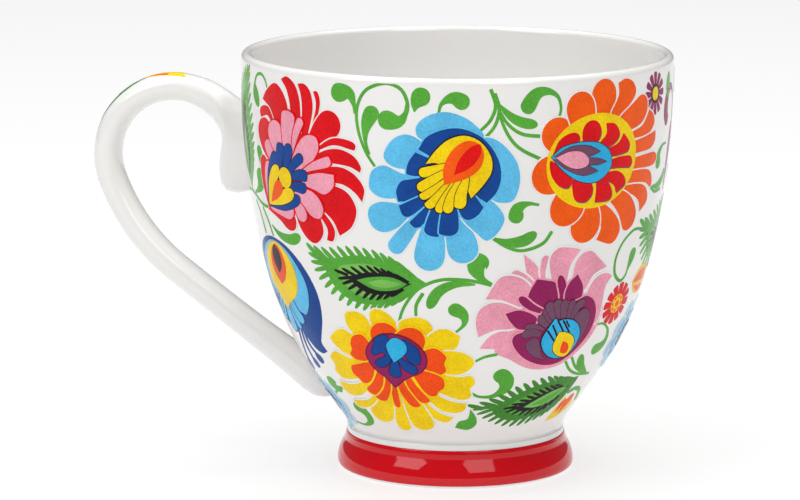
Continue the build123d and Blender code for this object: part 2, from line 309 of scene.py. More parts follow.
loop_centre = Vector((72.3, 76.8))
loop_radius = 17.7
loop_end = math.radians(-20)
bend_radius = 50.5
bend_turn = math.radians(33)
strip_thickness = 7.0
strip_width = 9.6
oval_squareness = 2.25


def oval_ring(bm, outer, inner, width, corners=40, square=oval_squareness):
    """An oval loop across the handle, from its outer edge to its inner edge, in millimetres."""
    outer, inner = Vector(outer), Vector(inner)
    centre = (outer + inner) / 2
    half = (outer - inner) / 2
    ring = bmesh.ops.create_circle(bm, segments=corners, radius=1.0)["verts"]
    for vert in ring:
        across, along = vert.co.y, vert.co.x
        swell = (abs(across) ** square + abs(along) ** square) ** (-1 / square)
        spot = centre + half * along * swell
        vert.co = (-spot[0] * MM, across * swell * width / 2 * MM, spot[1] * MM)
    return ring


handle_rings = [
    ((50.6, 88.6), (50.8, 69.2), strip_width),
    ((52.9, 89.9), (53.6, 68.3), strip_width),
    ((54.0, 90.6), (56.2, 67.8), strip_width),
    ((54.9, 91.2), (58.9, 68.3), strip_width),
    ((55.8, 91.8), (60.4, 70.2), strip_width),
    ((56.9, 92.5), (60.7, 73.4), strip_width),
    ((58.3, 93.5), (59.3, 78.4), strip_width),
    ((60.0, 94.5), (59.9, 82.8), strip_width),
    ((62.0, 95.6), (61.9, 86.2), strip_width),
    ((64.6, 96.7), (65.0, 88.8), strip_width),
]
handle_rings += [
    (on_circle(loop_centre, loop_radius + strip_thickness / 2, angle),
     on_circle(loop_centre, loop_radius - strip_thickness / 2, angle), strip_width)
    for angle in steps(math.radians(104), loop_end, 26)
]
bend_middle = on_circle(loop_centre, loop_radius, loop_end)
bend_centre = on_circle(bend_middle, bend_radius, loop_end + math.pi)
handle_rings += [
    (on_circle(bend_centre, bend_radius + strip_thickness / 2, angle),
     on_circle(bend_centre, bend_radius - strip_thickness / 2, angle), strip_width)
    for angle in steps(loop_end, loop_end - bend_turn, 14)[1:]
]
heading = loop_end - bend_turn - math.pi / 2
run = Vector((math.cos(heading), math.sin(heading)))
side = Vector((math.cos(heading + math.pi / 2), math.sin(heading + math.pi / 2)))
straight_start = on_circle(bend_centre, bend_radius, loop_end - bend_turn)
for distance, swell in ((6, 0.0), (12, 0.05), (18, 0.15), (24, 0.3), (29, 0.5), (33, 0.75)):
    spot = straight_start + run * distance
    handle_rings.append((spot + side * (strip_thickness / 2),
                         spot - side * (strip_thickness / 2 + swell), strip_width))
handle_rings += [
    ((42.3, 20.7), (37.4, 27.8), strip_width),
    ((39.0, 18.0), (34.8, 24.6), 9.4),
    ((36.2, 16.4), (32.8, 22.0), 9.0),
    ((33.6, 16.1), (31.0, 19.8), 8.0),
    ((30.8, 16.6), (29.4, 18.4), 5.5),
]
bm = bmesh.new()
rings = [oval_ring(bm, *ring) for ring in handle_rings]
for first, second in zip(rings, rings[1:]):
    for index in range(len(first)):
        following = (index + 1) % len(first)
        bm.faces.new((first[index], first[following], second[following], second[index]))
for cap in (rings[0], rings[-1]):
    bm.faces.new(cap)
bmesh.ops.recalc_face_normals(bm, faces=bm.faces[:])
handle = finish_piece("cast_handle", bm)
handle.data.materials.append(white_glaze)
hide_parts("handle")


# ---- Enamel drawing ---------------------------------------------------------------------------
# The flowers are ceramic transfers: coloured glass paints printed one over another, slid on
# to the glazed wall and fired into it. Real paint is a few hundredths of a millimetre thick. Here
# each print lies a hair above the last, so a flower of many prints is up to 0.5 mm proud.
# Each is drawn flat in millimetres, with x along the wall and y up it, then laid on.

paint = {
    "red": (216, 6, 20), "scarlet": (226, 10, 8), "orange": (246, 88, 8), "flame": (240, 74, 12),
    "yellow": (244, 204, 6), "gold": (240, 186, 10), "sky": (92, 184, 226), "azure": (46, 172, 222),
    "navy": (12, 66, 142), "ink": (22, 24, 44), "pink": (232, 154, 174),
    "plum": (142, 28, 88), "mulberry": (110, 22, 62), "mauve": (112, 72, 98), "green": (84, 164, 56),
    "leaf": (118, 182, 84), "moss": (64, 130, 44), "black": (26, 22, 26), "white": (238, 236, 233),
    "lilac": (150, 118, 150), "mist": (150, 196, 222), "haze": (120, 168, 204),
}


def linear(colour):
    """A colour of the paint chart as the shader wants it."""
    return [((part / 255 + 0.055) / 1.055) ** 2.4 for part in colour] + [1]


def enamel(name):
    """One fired paint: two close shades in a fine speckle under a smooth gloss."""
    if name == "white":
        return white_glaze
    if name in bpy.data.materials:
        return bpy.data.materials[name]
    material, shader = principled(name, Roughness=0.18, IOR=1.5, Specular_IOR_Level=0.1)
    nodes, links = material.node_tree.nodes, material.node_tree.links
    place = nodes.new("ShaderNodeTexCoord")
    speckle = nodes.new("ShaderNodeTexNoise")
    speckle.inputs["Scale"].default_value = 1900
    speckle.inputs["Detail"].default_value = 3
    links.new(place.outputs["Object"], speckle.inputs["Vector"])
    cloud = nodes.new("ShaderNodeTexNoise")
    cloud.inputs["Scale"].default_value = 160
    cloud.inputs["Detail"].default_value = 2
    links.new(place.outputs["Object"], cloud.inputs["Vector"])
    both = nodes.new("ShaderNodeMath")
    both.operation = "MULTIPLY_ADD"
    both.inputs[1].default_value = 0.6
    links.new(speckle.outputs["Fac"], both.inputs[0])
    share = nodes.new("ShaderNodeMath")
    share.operation = "MULTIPLY"
    share.inputs[1].default_value = 0.4
    links.new(cloud.outputs["Fac"], share.inputs[0])
    links.new(share.outputs[0], both.inputs[2])
    shades = nodes.new("ShaderNodeValToRGB")
    shades.color_ramp.elements[0].position = 0.36
    shades.color_ramp.elements[1].position = 0.64
    base = linear(paint[name])
    shades.color_ramp.elements[0].color = [part * 0.9 for part in base[:3]] + [1]
    shades.color_ramp.elements[1].color = [min(part * 1.2 + 0.002, 1) for part in base[:3]] + [1]
    links.new(both.outputs[0], shades.inputs["Fac"])
    links.new(shades.outputs["Color"], shader.inputs["Base Color"])
    return material


def smooth(points, closed=False, count=5):
    """A smooth line through points of the plane. A point with a third value is a corner."""
    spots = [complex(point[0], point[1]) for point in points]
    sharp = [len(point) > 2 for point in points]
    line = []
    for index in range(len(spots) if closed else len(spots) - 1):
        after = (index + 1) % len(spots)
        start, end = spots[index], spots[after]
        first = closed or index > 0
        last = closed or after < len(spots) - 1
        before = spots[index - 1] if first and not sharp[index] else 2 * start - end
        beyond = spots[(index + 2) % len(spots)] if last and not sharp[after] else 2 * end - start
        leave, arrive = (end - before) / 2, (beyond - start) / 2
        for step in range(count):
            t = step / count
            line.append(start * (1 + 2 * t) * (1 - t) ** 2 + end * t * t * (3 - 2 * t)
                        + leave * t * (1 - t) ** 2 + arrive * t * t * (t - 1))
    return line if closed else line + [spots[-1]]


def shape(*points):
    """A closed outline through a few points."""
    return smooth(points, closed=True)


def petal(spine, width, root=0.2, point=1.0, swell=1.0):
    """A petal, drop or stem along a spine: narrow at its root, widest at its belly, round at
    its tip. point sets how long the tip is on the left and right side, swell how late it widens."""
    line = smooth(spine, count=8)
    marks = [0.0]
    for before, after in zip(line, line[1:]):
        marks.append(marks[-1] + abs(after - before))
    length = marks[-1]
    count = 5 + 3 * len(spine)

    def at(share):
        goal = share * length
        index = max(1, next((i for i, mark in enumerate(marks) if mark >= goal), len(marks) - 1))
        span = marks[index] - marks[index - 1]
        part = (goal - marks[index - 1]) / span if span else 0
        heading = (line[index] - line[index - 1]) / abs(line[index] - line[index - 1])
        return line[index - 1] + (line[index] - line[index - 1]) * part, heading * 1j

    sides = []
    for side, tip in zip((1, -1), point if isinstance(point, tuple) else (point, point)):
        belly = max(1 - tip * width / 2 / length, 0.3)
        outline = []
        for step in range(count + 1):
            share = step / count
            spot, left = at(share * belly)
            half = root + (1 - root) * math.sin(math.pi / 2 * share) ** swell
            outline.append(spot + side * left * half * width / 2)
        for step in range(1, 7):
            angle = math.pi / 2 * step / 6
            spot, left = at(belly + (1 - belly) * math.sin(angle))
            outline.append(spot + side * left * math.cos(angle) * width / 2)
        sides.append(outline)
    return sides[0] + sides[1][-2::-1]


def disc(x, y, across, up):
    """An oval."""
    return [complex(x, y) + complex(across / 2 * math.cos(math.tau * step / 48),
                                    up / 2 * math.sin(math.tau * step / 48)) for step in range(48)]


def area(outline):
    """Twice the area of an outline, positive when it runs anticlockwise."""
    return sum((a.conjugate() * b).imag for a, b in zip(outline, outline[1:] + outline[:1]))


def grown(outline, amount):
    """The outline moved outwards by an amount, for a contour line or a reserved white edge."""
    side = -1j if area(outline) > 0 else 1j
    moved = []
    for before, here, after in zip(outline[-1:] + outline[:-1], outline, outline[1:] + outline[:1]):
        normals = [edge * side / abs(edge) for edge in (here - before, after - here) if abs(edge) > 1e-6]
        total = sum(normals)
        moved.append(here + amount * total / max(abs(total), 0.5) if total else here)
    return moved


def edged(colour, amount, outlines):
    """A layer of contour lines that shows round the outlines laid over it."""
    return colour, [grown(outline, amount) for outline in outlines]


def parted(colour, outlines, gap=0.4, ground="white"):
    """Petals laid down one after another, each with a narrow reserved edge in the ground colour."""
    layers = []
    for outline in outlines:
        layers += [(ground, [grown(outline, gap)]), (colour, [outline])]
    return layers


def wreath(x, y, count, inner, outer, width, point=1.0, start=0.0, root=0.5):
    """Petals set evenly round a point, from an inner to an outer radius."""
    ways = [complex(math.cos(turn), math.sin(turn))
            for turn in (math.radians(start) + math.tau * number / count for number in range(count))]
    return [petal([(x + inner * way.real, y + inner * way.imag),
                   (x + outer * way.real, y + outer * way.imag)],
                  width, root=root, point=point) for way in ways]


def barbs(tips, rib, ahead, length, width):
    """The comb teeth of a feather leaf. Each points from its tip at a spot ahead on the rib."""
    rib_start, rib_end = complex(*rib[:2]), complex(*rib[2:])
    teeth = []
    for x, y in tips:
        share = min((x + ahead - rib_start.real) / (rib_end - rib_start).real, 1.0)
        way = rib_start + share * (rib_end - rib_start) - complex(x, y)
        root = complex(x, y) + way / abs(way) * min(length, abs(way))
        teeth.append(petal([(root.real, root.imag), (x, y)], width, root=1.0, point=4))
    return teeth


def stem(*points, width=0.9):
    """An even line that ends round."""
    return petal(points, width, root=0.8, point=0.4)


def comma(width, *points):
    """A curled leaf: a thin tail that swells late into a round head."""
    length = sum(math.dist(before, after) for before, after in zip(points, points[1:]))
    return petal(points, width, root=0.18, swell=1.0 + length / (1.2 * width), point=0.95)


def blade(width, *points):
    """A plain leaf, widest past its middle and pointed at its tip."""
    return petal(points, width, root=0.15, point=2.0)


first_lift = 0.03
paint_step = 0.008
strand = 0.0002
cut_across = 1.25
cut_up = 1.8


def lay_on_wall(x, y, lift, azimuth, climb):
    """The place and outward normal of a flat point laid on the outer wall."""
    reach, height, tilt = wall(min(max(climb + y, 0.0), wall_end))
    angle = math.radians(azimuth) + x / reach
    out, down = math.cos(tilt), -math.sin(tilt)
    normal = Vector((out * math.cos(angle), out * math.sin(angle), down))
    reach += out * lift
    spot = Vector((reach * math.cos(angle), reach * math.sin(angle), height + down * lift)) * MM
    return spot, normal


def fire(name, layers, azimuth, height, replaces=None, mirrored=False, turn=0.0, size=1.0,
         lay=lay_on_wall, climb=None):
    """Lays painted layers on the wall as thin closed skins, joined as one piece."""
    bm = bmesh.new()
    colours = []
    spin = size * complex(math.cos(math.radians(turn)), math.sin(math.radians(turn)))
    for level, (colour, outlines) in enumerate(layers):
        if colour not in colours:
            colours.append(colour)
        for number, outline in enumerate(outlines):
            lift = first_lift + paint_step * level + strand * number
            spots = [spot * spin for spot in outline]
            if mirrored:
                spots = [-spot.conjugate() for spot in spots]
            if area(spots) < 0:
                spots.reverse()
            face = bm.faces.new([bm.verts.new((spot.real, spot.imag, lift)) for spot in spots])
            face.material_index = colours.index(colour)
    bm.normal_update()
    bmesh.ops.triangulate(bm, faces=bm.faces[:], ngon_method="EAR_CLIP")
    for axis, pitch in ((0, cut_across), (1, cut_up)):
        low = min(vert.co[axis] for vert in bm.verts)
        high = max(vert.co[axis] for vert in bm.verts)
        across = Vector((axis == 0, axis == 1, 0))
        for cut in range(math.ceil(low / pitch), math.ceil(high / pitch)):
            geometry = bm.verts[:] + bm.edges[:] + bm.faces[:]
            bmesh.ops.bisect_plane(bm, geom=geometry, plane_co=across * cut * pitch, plane_no=across)
    tops = bm.faces[:]
    skin = bmesh.ops.extrude_face_region(bm, geom=tops, use_keep_orig=True)["geom"]
    for vert in skin:
        if isinstance(vert, bmesh.types.BMVert):
            vert.co.z = 0.0
    bmesh.ops.recalc_face_normals(bm, faces=bm.faces[:])
    bm.faces.index_update()
    glossy = {face.index for face in tops}
    start = climb_at(height) if climb is None else climb
    normals = []
    for vert in bm.verts:
        vert.co, normal = lay(vert.co.x, vert.co.y, vert.co.z, azimuth, start)
        normals.append(normal)
    piece = finish_piece(name, bm)
    for colour in colours:
        piece.data.materials.append(enamel(colour))
    corners = []
    for polygon in piece.data.polygons:
        polygon.use_smooth = polygon.index in glossy
        for vertex in polygon.vertices:
            corners.append(normals[vertex] if polygon.index in glossy else Vector((0, 0, 0)))
    piece.data.normals_split_custom_set(corners)
    if replaces:
        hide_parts(*replaces)


front = view_azimuth - 90


# ---- Red fan flower ---------------------------------------------------------------------------
# Fifteen red petals open from a point at the lower left. Pink, navy and yellow petals are
# printed over them round an orange drop.

fan_red = [
    petal([(-16.6, -12.6), (-17.7, -5), (-16.9, 0.8)], 3.7),
    petal([(-11.5, -1), (-14.8, 4.6), (-16.9, 10.1)], 7.6),
    petal([(-10.5, 8.2), (-13.6, 12.0), (-18.0, 11.4)], 2.6, point=(0.3, 1.6)),
    shape((-8, 3), (-10.6, 9.8), (-12.6, 13.0), (-16.3, 14.8, 1), (-14.2, 17.3), (-10.2, 19.4),
          (-6.6, 17.2), (-4.8, 12.8), (-6, 6)),
    shape((-4, 8), (-3.9, 13.5), (-5.2, 18), (-7.6, 20.7, 1), (-5.2, 21.5), (-2.2, 19.8), (-0.5, 16),
          (-0.4, 11), (-2, 6)),
    shape((0, 8), (0.3, 14), (-0.1, 17.5), (-1.2, 20.2, 1), (1.2, 20.3), (3.2, 18.4), (3.9, 14.5),
          (2.6, 9.5), (1, 6)),
    shape((2, 6.5), (4.4, 13), (4.9, 16.2), (4.0, 18.8, 1), (5.4, 18.8), (6.2, 16.4), (5.4, 12.6),
          (3.4, 8)),
    petal([(2, 4), (6.4, 8.8), (11.2, 13.6)], 7.0, root=0.35),
    petal([(4, 4.2), (10, 7.1), (16.2, 6.4)], 2.1, point=(1.8, 0.4)),
    shape((4.5, 3.2), (8, 5.0), (12, 5.4), (15.6, 4), (17.3, 1.6), (17.0, 0.1, 1), (14.4, 1.3), (11, 1.7),
          (7, 2.0)),
    shape((8, 0.6), (12, 1.0), (15.6, -0.6), (17.8, -3.8), (17.0, -7.2, 1), (15.2, -5.0), (12.3, -3.3),
          (9, -2.9), (4, -2)),
    shape((3, -4), (9, -3.7), (13.2, -5.2), (15.2, -9.2), (13.4, -13.6), (9.6, -16.3, 1), (8.2, -12.8),
          (5.6, -10.4), (3, -8)),
    shape((4, -10), (6.6, -11.9), (8.3, -15), (7.4, -17.8), (5.5, -17.8, 1), (6.1, -15), (4.6, -12.2)),
    shape((-4.4, -10), (-3.3, -15.3), (-0.6, -18.5), (2.2, -18.9), (4.6, -16.3), (4.5, -13), (2.5, -9.5),
          (-1, -8)),
    shape((-17.1, -12.8, 1), (-11.5, -14.8), (-8, -16.9), (-5.2, -16.4), (-4.5, -13.6), (-7, -11),
          (-12, -11)),
]
fan_ground = shape((-16.6, -12.4), (-13.5, -2), (-9, 6), (-3, 8.5), (3, 6.5), (7, 1), (6, -6), (-1, -11),
                   (-9, -12.5))
fan_pink = [
    petal([(-15.6, -11.5), (-15.5, -5), (-14.0, -0.4)], 3.0),
    petal([(-11, -1.5), (-13.6, 3), (-14.3, 5)], 3.4),
    petal([(-8.6, 1), (-9.9, 6), (-11, 10.2)], 6.3),
    petal([(-5.5, 2), (-5.2, 8), (-4.5, 13.2)], 4.9, point=0.5, root=0.4),
    petal([(-3.6, 3), (-1.9, 8), (0.2, 11.8)], 2.3),
    shape((-4.5, -1), (-1.7, 4.8), (1.5, 7.8), (4.8, 7.7), (5.4, 4.8), (3.2, 1.6), (0.3, -0.4)),
    petal([(-0.5, -1.3), (4, 0.7), (9.0, 2.3)], 2.5, point=(0.3, 1.2)),
    shape((0, -2.6), (5, -1.0), (9.7, -1.0, 1), (9.3, -4), (6.5, -6.1), (3.5, -5.3), (0, -4.3)),
    shape((-2, -5.8), (2, -5.7), (4.6, -7.5), (5.6, -10.2), (4.2, -12.4), (1.5, -12), (-1, -9.5),
          (-4, -7.6)),
    petal([(-4.8, -8.2), (-2.5, -10.8), (-1.2, -13.8)], 3.7),
    shape((-15, -12.0), (-9.5, -13.6), (-6.5, -13.9), (-4.9, -12.5), (-5.3, -10.3), (-9, -10.2)),
]
fan_navy = [
    petal([(-15.5, -11.4), (-13.5, -3.6), (-10.2, 2.3)], 2.9),
    petal([(-9.3, -2), (-8.6, 1.5), (-7.7, 4.9)], 3.1, point=0.7, root=0.5),
    petal([(-7.2, -2), (-5.3, 2), (-4.6, 5.1)], 2.9, root=0.45),
    petal([(-5.8, -2.4), (-2.7, 0.6), (0.1, 2.7)], 2.5, root=0.45),
    petal([(-5, -3.3), (-1.5, -2.2), (1.4, -2.2)], 2.8, point=0.6, root=0.4),
    petal([(-5.6, -5.6), (-2, -5.2), (0.7, -5.6)], 2.8, point=(0.4, 1.2), root=0.4),
    petal([(-15.4, -11.4), (-8, -10.6), (-1.8, -7.9)], 3.0, point=1.6),
]
fan_yellow = [
    petal([(-15.1, -11.2), (-12.7, -5), (-9.5, -0.9)], 3.4, point=1.6),
    disc(-6.9, -3.5, 5.0, 5.2),
    petal([(-15, -11.0), (-9.2, -9.0), (-4.0, -6.7)], 3.5, point=1.6),
]
fan_drop = petal([(-14.2, -10.5), (-11.3, -7.8), (-8.7, -4.9)], 3.6, root=0.05)
red_fan = parted("red", fan_red, 0.3) + [("red", [fan_ground])] + parted("pink", fan_pink, 0.35, "red") + [
    edged("ink", 0.12, fan_navy),
    ("navy", fan_navy),
    edged("ink", 0.22, fan_yellow),
    ("yellow", fan_yellow),
    ("orange", [fan_drop]),
]
fire("red_fan_flower", red_fan, front - 44, 82, replaces=["red_fan_flower"])


# ---- Blue rosette -----------------------------------------------------------------------------
# Sky blue petals lie round a ring of navy ones. A yellow eye is printed off its centre, its
# lower edge combed into rays, with an orange drop and a red core.

blue_sky = [
    shape((-7.1, 13.3), (-5.8, 15.6), (-3, 17.2), (0.5, 17.7), (4.5, 16.5), (7.5, 14.3), (9.2, 11.6),
          (5, 9), (0, 9), (-5.5, 10.5)),
    shape((-15, 6.6), (-13, 10.5), (-9.5, 12.1), (-6, 10.8), (-4, 8), (-8, 4.0), (-12.6, 4.1)),
    shape((-18.8, -0.5), (-18, 2.8), (-15, 4.3), (-11, 2.8), (-7, 1), (-10, -3.0), (-15, -3.8),
          (-18, -2.4)),
    shape((-19.1, -8.5), (-18.4, -6), (-15.5, -4.7), (-11, -5), (-8, -6.0), (-10.5, -10.2), (-14.5, -12.3),
          (-17.7, -11.4)),
    petal([(-4, -5.5), (-8.5, -11.0), (-13.1, -17.3)], 4.3),
    petal([(-2.2, -5), (-4.3, -21.7)], 7.4),
    petal([(0.6, -6), (3.5, -13), (4.9, -19.6)], 7.5),
    shape((3, -6), (7.5, -3.5), (11, -3.8), (14.2, -7.8), (13, -11.5), (10, -13.9), (7.5, -12), (4.5, -9)),
    shape((9.2, 11.5), (13, 10.5), (17, 6), (18.1, 1), (16.7, -3.6), (14, -4.5), (11.0, -3.2), (10, 3),
          (8, 8)),
]
blue_navy = [
    shape((-6.4, 8.6, 1), (-4.2, 11.8), (0.5, 13.7), (5, 13.5), (9.5, 11), (12.6, 6.5), (13.4, 2),
          (12.3, -1.8), (9.9, -4.4, 1), (7.2, -2.2), (4, 3), (0, 7), (-2.6, 6.7)),
    shape((-9.3, 3.4), (-8.7, 5.6), (-7.1, 7.9, 1), (-3.4, 6.2), (-2, 4), (-5.5, 2.2), (-8.8, 2.3)),
    shape((-11.3, -4.4, 1), (-11.8, -1.8), (-10.6, 0.6), (-8, 1.3), (-4, 1.7), (-3.5, -1.0), (-8.0, -3.9)),
    shape((-11.2, -5.4, 1), (-10.2, -7.7), (-8.4, -7.9), (-5, -5.2), (-2.5, -2.2), (-5, -2.4)),
    petal([(-1, -2.5), (-4.4, -6.8), (-7.7, -10.5)], 2.7, point=(1.4, 0.2), root=0.5),
    petal([(-1, -3), (-3.5, -12.7)], 3.8, point=(0.25, 0.7), root=0.5),
    petal([(1.2, -3), (0.8, -12.6)], 4.7, point=(0.9, 0.3), root=0.5),
    shape((2.8, -3), (3.6, -7), (5.3, -8.6), (7.6, -7.6), (9.2, -5.5, 1), (6.8, -2.2), (5, -1)),
]
blue_yellow = [
    shape((-4.6, 5.2, 1), (-2, 8.7), (1, 11.2), (4.8, 12.1), (8.5, 10.5), (10.9, 7), (11.1, 3.4),
          (9.2, 0.2), (6.2, -3.2, 1), (5.2, -1), (3, 1), (0, 4), (-2, 5.4)),
    petal([(2, 5.2), (-2.6, 3.7), (-6.2, 2.8)], 2.4, root=0.5),
    petal([(2, 4.4), (-3, 1.2), (-6.5, -1.1)], 2.4, root=0.4),
    petal([(2.4, 3), (-2.2, -0.8), (-5.8, -3.3)], 1.9, root=0.4, point=(1.5, 0.4)),
    petal([(3, 3), (-1.2, -2.3), (-4.3, -5.6)], 2.2, root=0.4, point=(1.5, 0.4)),
    petal([(3, 2), (0.2, -2.8), (-1.9, -6.6)], 2.0, root=0.4, point=(0.4, 1.5)),
    petal([(3.8, 2), (1.6, -2.6), (0.4, -6.8)], 2.4, root=0.4),
    petal([(5.2, 2), (3.8, -2.2), (3.6, -5.7)], 2.9, root=0.4, point=(1.2, 0.5)),
]
blue_drop = shape((-0.2, 0.1, 1), (-0.4, 4), (1.5, 8.3), (5, 10.8), (8.2, 9.9), (9.2, 7), (8.0, 3.8),
                  (4.6, 1.5))
blue_core = shape((2.1, 2.5, 1), (3.2, 6), (5.6, 9.0), (8.3, 10.0), (8.3, 7.2), (5.8, 4.2))
blue_flower = parted("sky", blue_sky, 0.3) + parted("navy", blue_navy, 0.35, "sky") + [
    ("navy", [disc(0, 2, 12, 11)]),
    edged("black", 0.3, blue_yellow),
    ("yellow", blue_yellow[:1]),
] + parted("yellow", blue_yellow[1:], 0.17, "black") + [
    ("orange", [blue_drop]),
    ("scarlet", [blue_core]),
]
fire("blue_rosette", blue_flower, front - 3, 80, replaces=["blue_rosette"])


# ---- Orange rosette ---------------------------------------------------------------------------
# Fifteen orange petals stand round a yellow disc with nine red petals on it. A sky blue drop
# with plum wings and a pink bud points to the left.

orange_petals = [
    petal([(-1, 9), (0.3, 22.1)], 8.0),
    shape((4.6, 20.7, 1), (7.5, 21.5), (10.5, 20.2), (11.4, 17.5), (8.5, 14.6), (3, 11), (2.2, 13.6),
          (4.7, 17.5)),
    shape((5, 12), (10.5, 15.3), (14, 16.9), (16.5, 15.8), (16.9, 12.9), (14.4, 10.0), (9.5, 8.7), (5, 9)),
    shape((17.9, 12.9, 1), (20.2, 11.4), (21, 9.2), (18.5, 7), (14, 6.5), (9, 6.6), (10.5, 8.2),
          (14.8, 9.4)),
    shape((21.9, 7.2, 1), (21.9, 4.6), (19.5, 3.0), (15, 2.7), (10, 2.8), (10, 5.4), (16, 6.3)),
    petal([(9, 0.2), (23.7, 0.2)], 3.5, point=1.8, root=0.7),
    shape((10, -1.8), (17, -1.9), (20.5, -3), (21.9, -5.5), (21.4, -7.3, 1), (18.5, -5.6), (15, -4.9),
          (9, -4.4)),
    shape((8, -5), (15, -5.3), (19, -7), (20.2, -10.2), (16.8, -12.7, 1), (15.5, -9.8), (12, -7.6),
          (7, -6)),
    petal([(3, -6), (9.6, -10.2), (13.6, -16.1)], 6.5, root=0.4, point=(1.1, 0.7)),
    shape((0, -8), (4.5, -10.5), (8, -14), (8.6, -17), (6, -19.4), (0.5, -17.8, 1), (1.5, -14.5),
          (-0.6, -10.2)),
    petal([(-3.2, -6), (-3.7, -18.1)], 9.0),
    petal([(-6, -3), (-12.3, -12.6)], 9.6, point=1.1),
    petal([(-9, 0), (-15, -0.2), (-19.9, -0.4)], 9.6, root=0.5),
    petal([(-7, 4), (-13.0, 9.0), (-17.0, 12.2)], 8.6, root=0.5),
    petal([(-5, 6), (-8.4, 19.5)], 8.2),
]
orange_red = [
    shape((-14.9, 4.6, 1), (-13.2, 8.2), (-10, 9.8), (-7.8, 9.2), (-8, 7.3), (-11, 5.6)),
    petal([(-5.4, 5), (-3.1, 12.3)], 5.7),
    shape((0.4, 11.4, 1), (3.5, 10.9), (5.2, 8.5), (3.8, 6.5), (0.2, 5.2), (-1.6, 6.4), (0.6, 8.7)),
    shape((6.7, 8.4, 1), (9, 6), (8.8, 4), (6.5, 3.3), (2, 3.2), (0.8, 4.8), (4.8, 6.1)),
    petal([(1, 1.0), (6, 1.3), (10.6, 0.9)], 2.9, root=0.6),
    shape((1, -1), (5, -0.8), (8, -2.5), (8.3, -4.6), (5.3, -6.3, 1), (4, -4), (0, -2.0)),
    shape((-1.6, -2), (2, -3), (3.9, -6), (2.8, -7.8), (-1.7, -7.9, 1), (-1.6, -5)),
    shape((-8.6, -1.5), (-3.5, -2.8), (-2.7, -5.5), (-4.5, -7.5), (-7.5, -7), (-8.7, -4.5)),
    shape((-15.3, 3.4), (-15, 0), (-12.8, -2.8), (-10, -3.6), (-9.2, -1.2), (-12, 1)),
]
drop_body = shape((-15.1, 4.2, 1), (-12, 6.5), (-7, 7.3), (-2, 6.8), (1.5, 4.8), (2.9, 1.8), (1.8, -0.8),
                  (-2, -2.9), (-7, -2.2), (-11.5, 0.5))
drop_wings = [
    shape((-14.6, 4.2, 1), (-10, 6.4), (-5, 6.3), (-1, 4.6, 1), (-4.8, 3.6), (-9, 4)),
    shape((-14.6, 3.8, 1), (-11, 1), (-6, -0.9), (-1.4, -0.2, 1), (-5, 1.5), (-9, 2.2)),
    shape((-6, 3.2), (-2, 3.0), (1.3, 1.9, 1), (-2, 1.4), (-6, 1.8)),
]
drop_bud = shape((-13.9, 4, 1), (-10.5, 5.2), (-7, 5), (-4.7, 3.2), (-5, 1.4), (-8, 0.9), (-11, 1.9))
orange_flower = parted("orange", orange_petals, 0.35) + [
    ("yellow", [disc(-2.1, 2.3, 28.4, 23.4)]),
    ("mauve", [[spot + 0.2 - 0.3j for spot in outline] for outline in orange_red]),
    ("red", orange_red),
    edged("ink", 0.2, [drop_body]),
    ("azure", [drop_body]),
    edged("ink", 0.12, drop_wings),
    ("mauve", drop_wings),
    edged("mulberry", 0.15, [drop_bud]),
    ("pink", [drop_bud]),
]
fire("orange_rosette", orange_flower, front + 41, 82, replaces=["orange_rosette"])


# ---- Yellow rosette ---------------------------------------------------------------------------
# Yellow petals, then orange ones, hang round a plum heart that holds navy petals and a sky
# blue drop.

yellow_petals = [
    shape((-11.6, 8.6), (-11.2, 10.9), (-8, 11.5), (-5.4, 10.2), (-4, 6), (-6, 4), (-9, 4.8), (-11, 6.6)),
    shape((-4.4, 10), (-3.6, 12.4), (-1.5, 12.8), (1, 11.5), (2.5, 9.0), (1, 5), (-3, 5)),
    shape((3, 9.0), (6, 11), (9.5, 11), (11.4, 9), (11, 6.5), (9.5, 4.5), (5, 4)),
    shape((8, 4), (12, 7.7), (15, 8.2), (17.9, 6.2, 1), (16.5, 3), (13.5, 1.4), (9, 2)),
    shape((11, 1), (16, 1.9), (19.4, 0.4), (20, -2), (17.5, -4.5), (14, -5.4), (9, -4.2)),
    shape((9, -5.0), (15.5, -6), (18.6, -5.7), (19.2, -8), (17.6, -10), (17.4, -12.5), (15, -13.7),
          (12, -12.6), (7.5, -9)),
    shape((6, -9), (10, -12.8), (13, -14.5), (15.8, -15.0, 1), (14.6, -17.5), (12.2, -18.4), (9, -17.5),
          (6.6, -14), (4.5, -10)),
    shape((3, -10), (5.8, -15), (8.6, -18.5), (11.5, -20.1, 1), (9.6, -21.8), (7.4, -21.2), (5.2, -18.6),
          (3.4, -14.6), (1, -10)),
    petal([(0, -8), (2.2, -16), (3.8, -24.9)], 5.9, root=0.35),
    petal([(-1.5, -8), (-2, -17), (-1.8, -25.6)], 3.7, root=0.4),
    petal([(-3.5, -7), (-5.9, -15.5), (-8.2, -23.3)], 6.8, root=0.3),
    shape((-5, -8), (-7.0, -12.6), (-10.6, -16.0), (-15.9, -17.2, 1), (-15.0, -19.0), (-12.8, -19.4),
          (-9, -17.4), (-5.8, -12.6)),
    shape((-6, -6), (-10.5, -9.8), (-14.5, -11.3), (-18.8, -11.0, 1), (-18.2, -13.6), (-15.5, -15.3),
          (-11.4, -14.2), (-7, -9.4)),
    shape((-7, -2.5), (-12.6, -2.4), (-17, -1.1), (-19.3, -3.2), (-18.4, -5.6), (-18.9, -7.6), (-17, -9.6),
          (-13, -9.3), (-9, -7)),
    shape((-6, 1), (-10, 4.8), (-13, 6.2), (-15.6, 5), (-17.8, 2.8, 1), (-15.6, 0.2), (-12.5, -1.5),
          (-7, -2)),
]
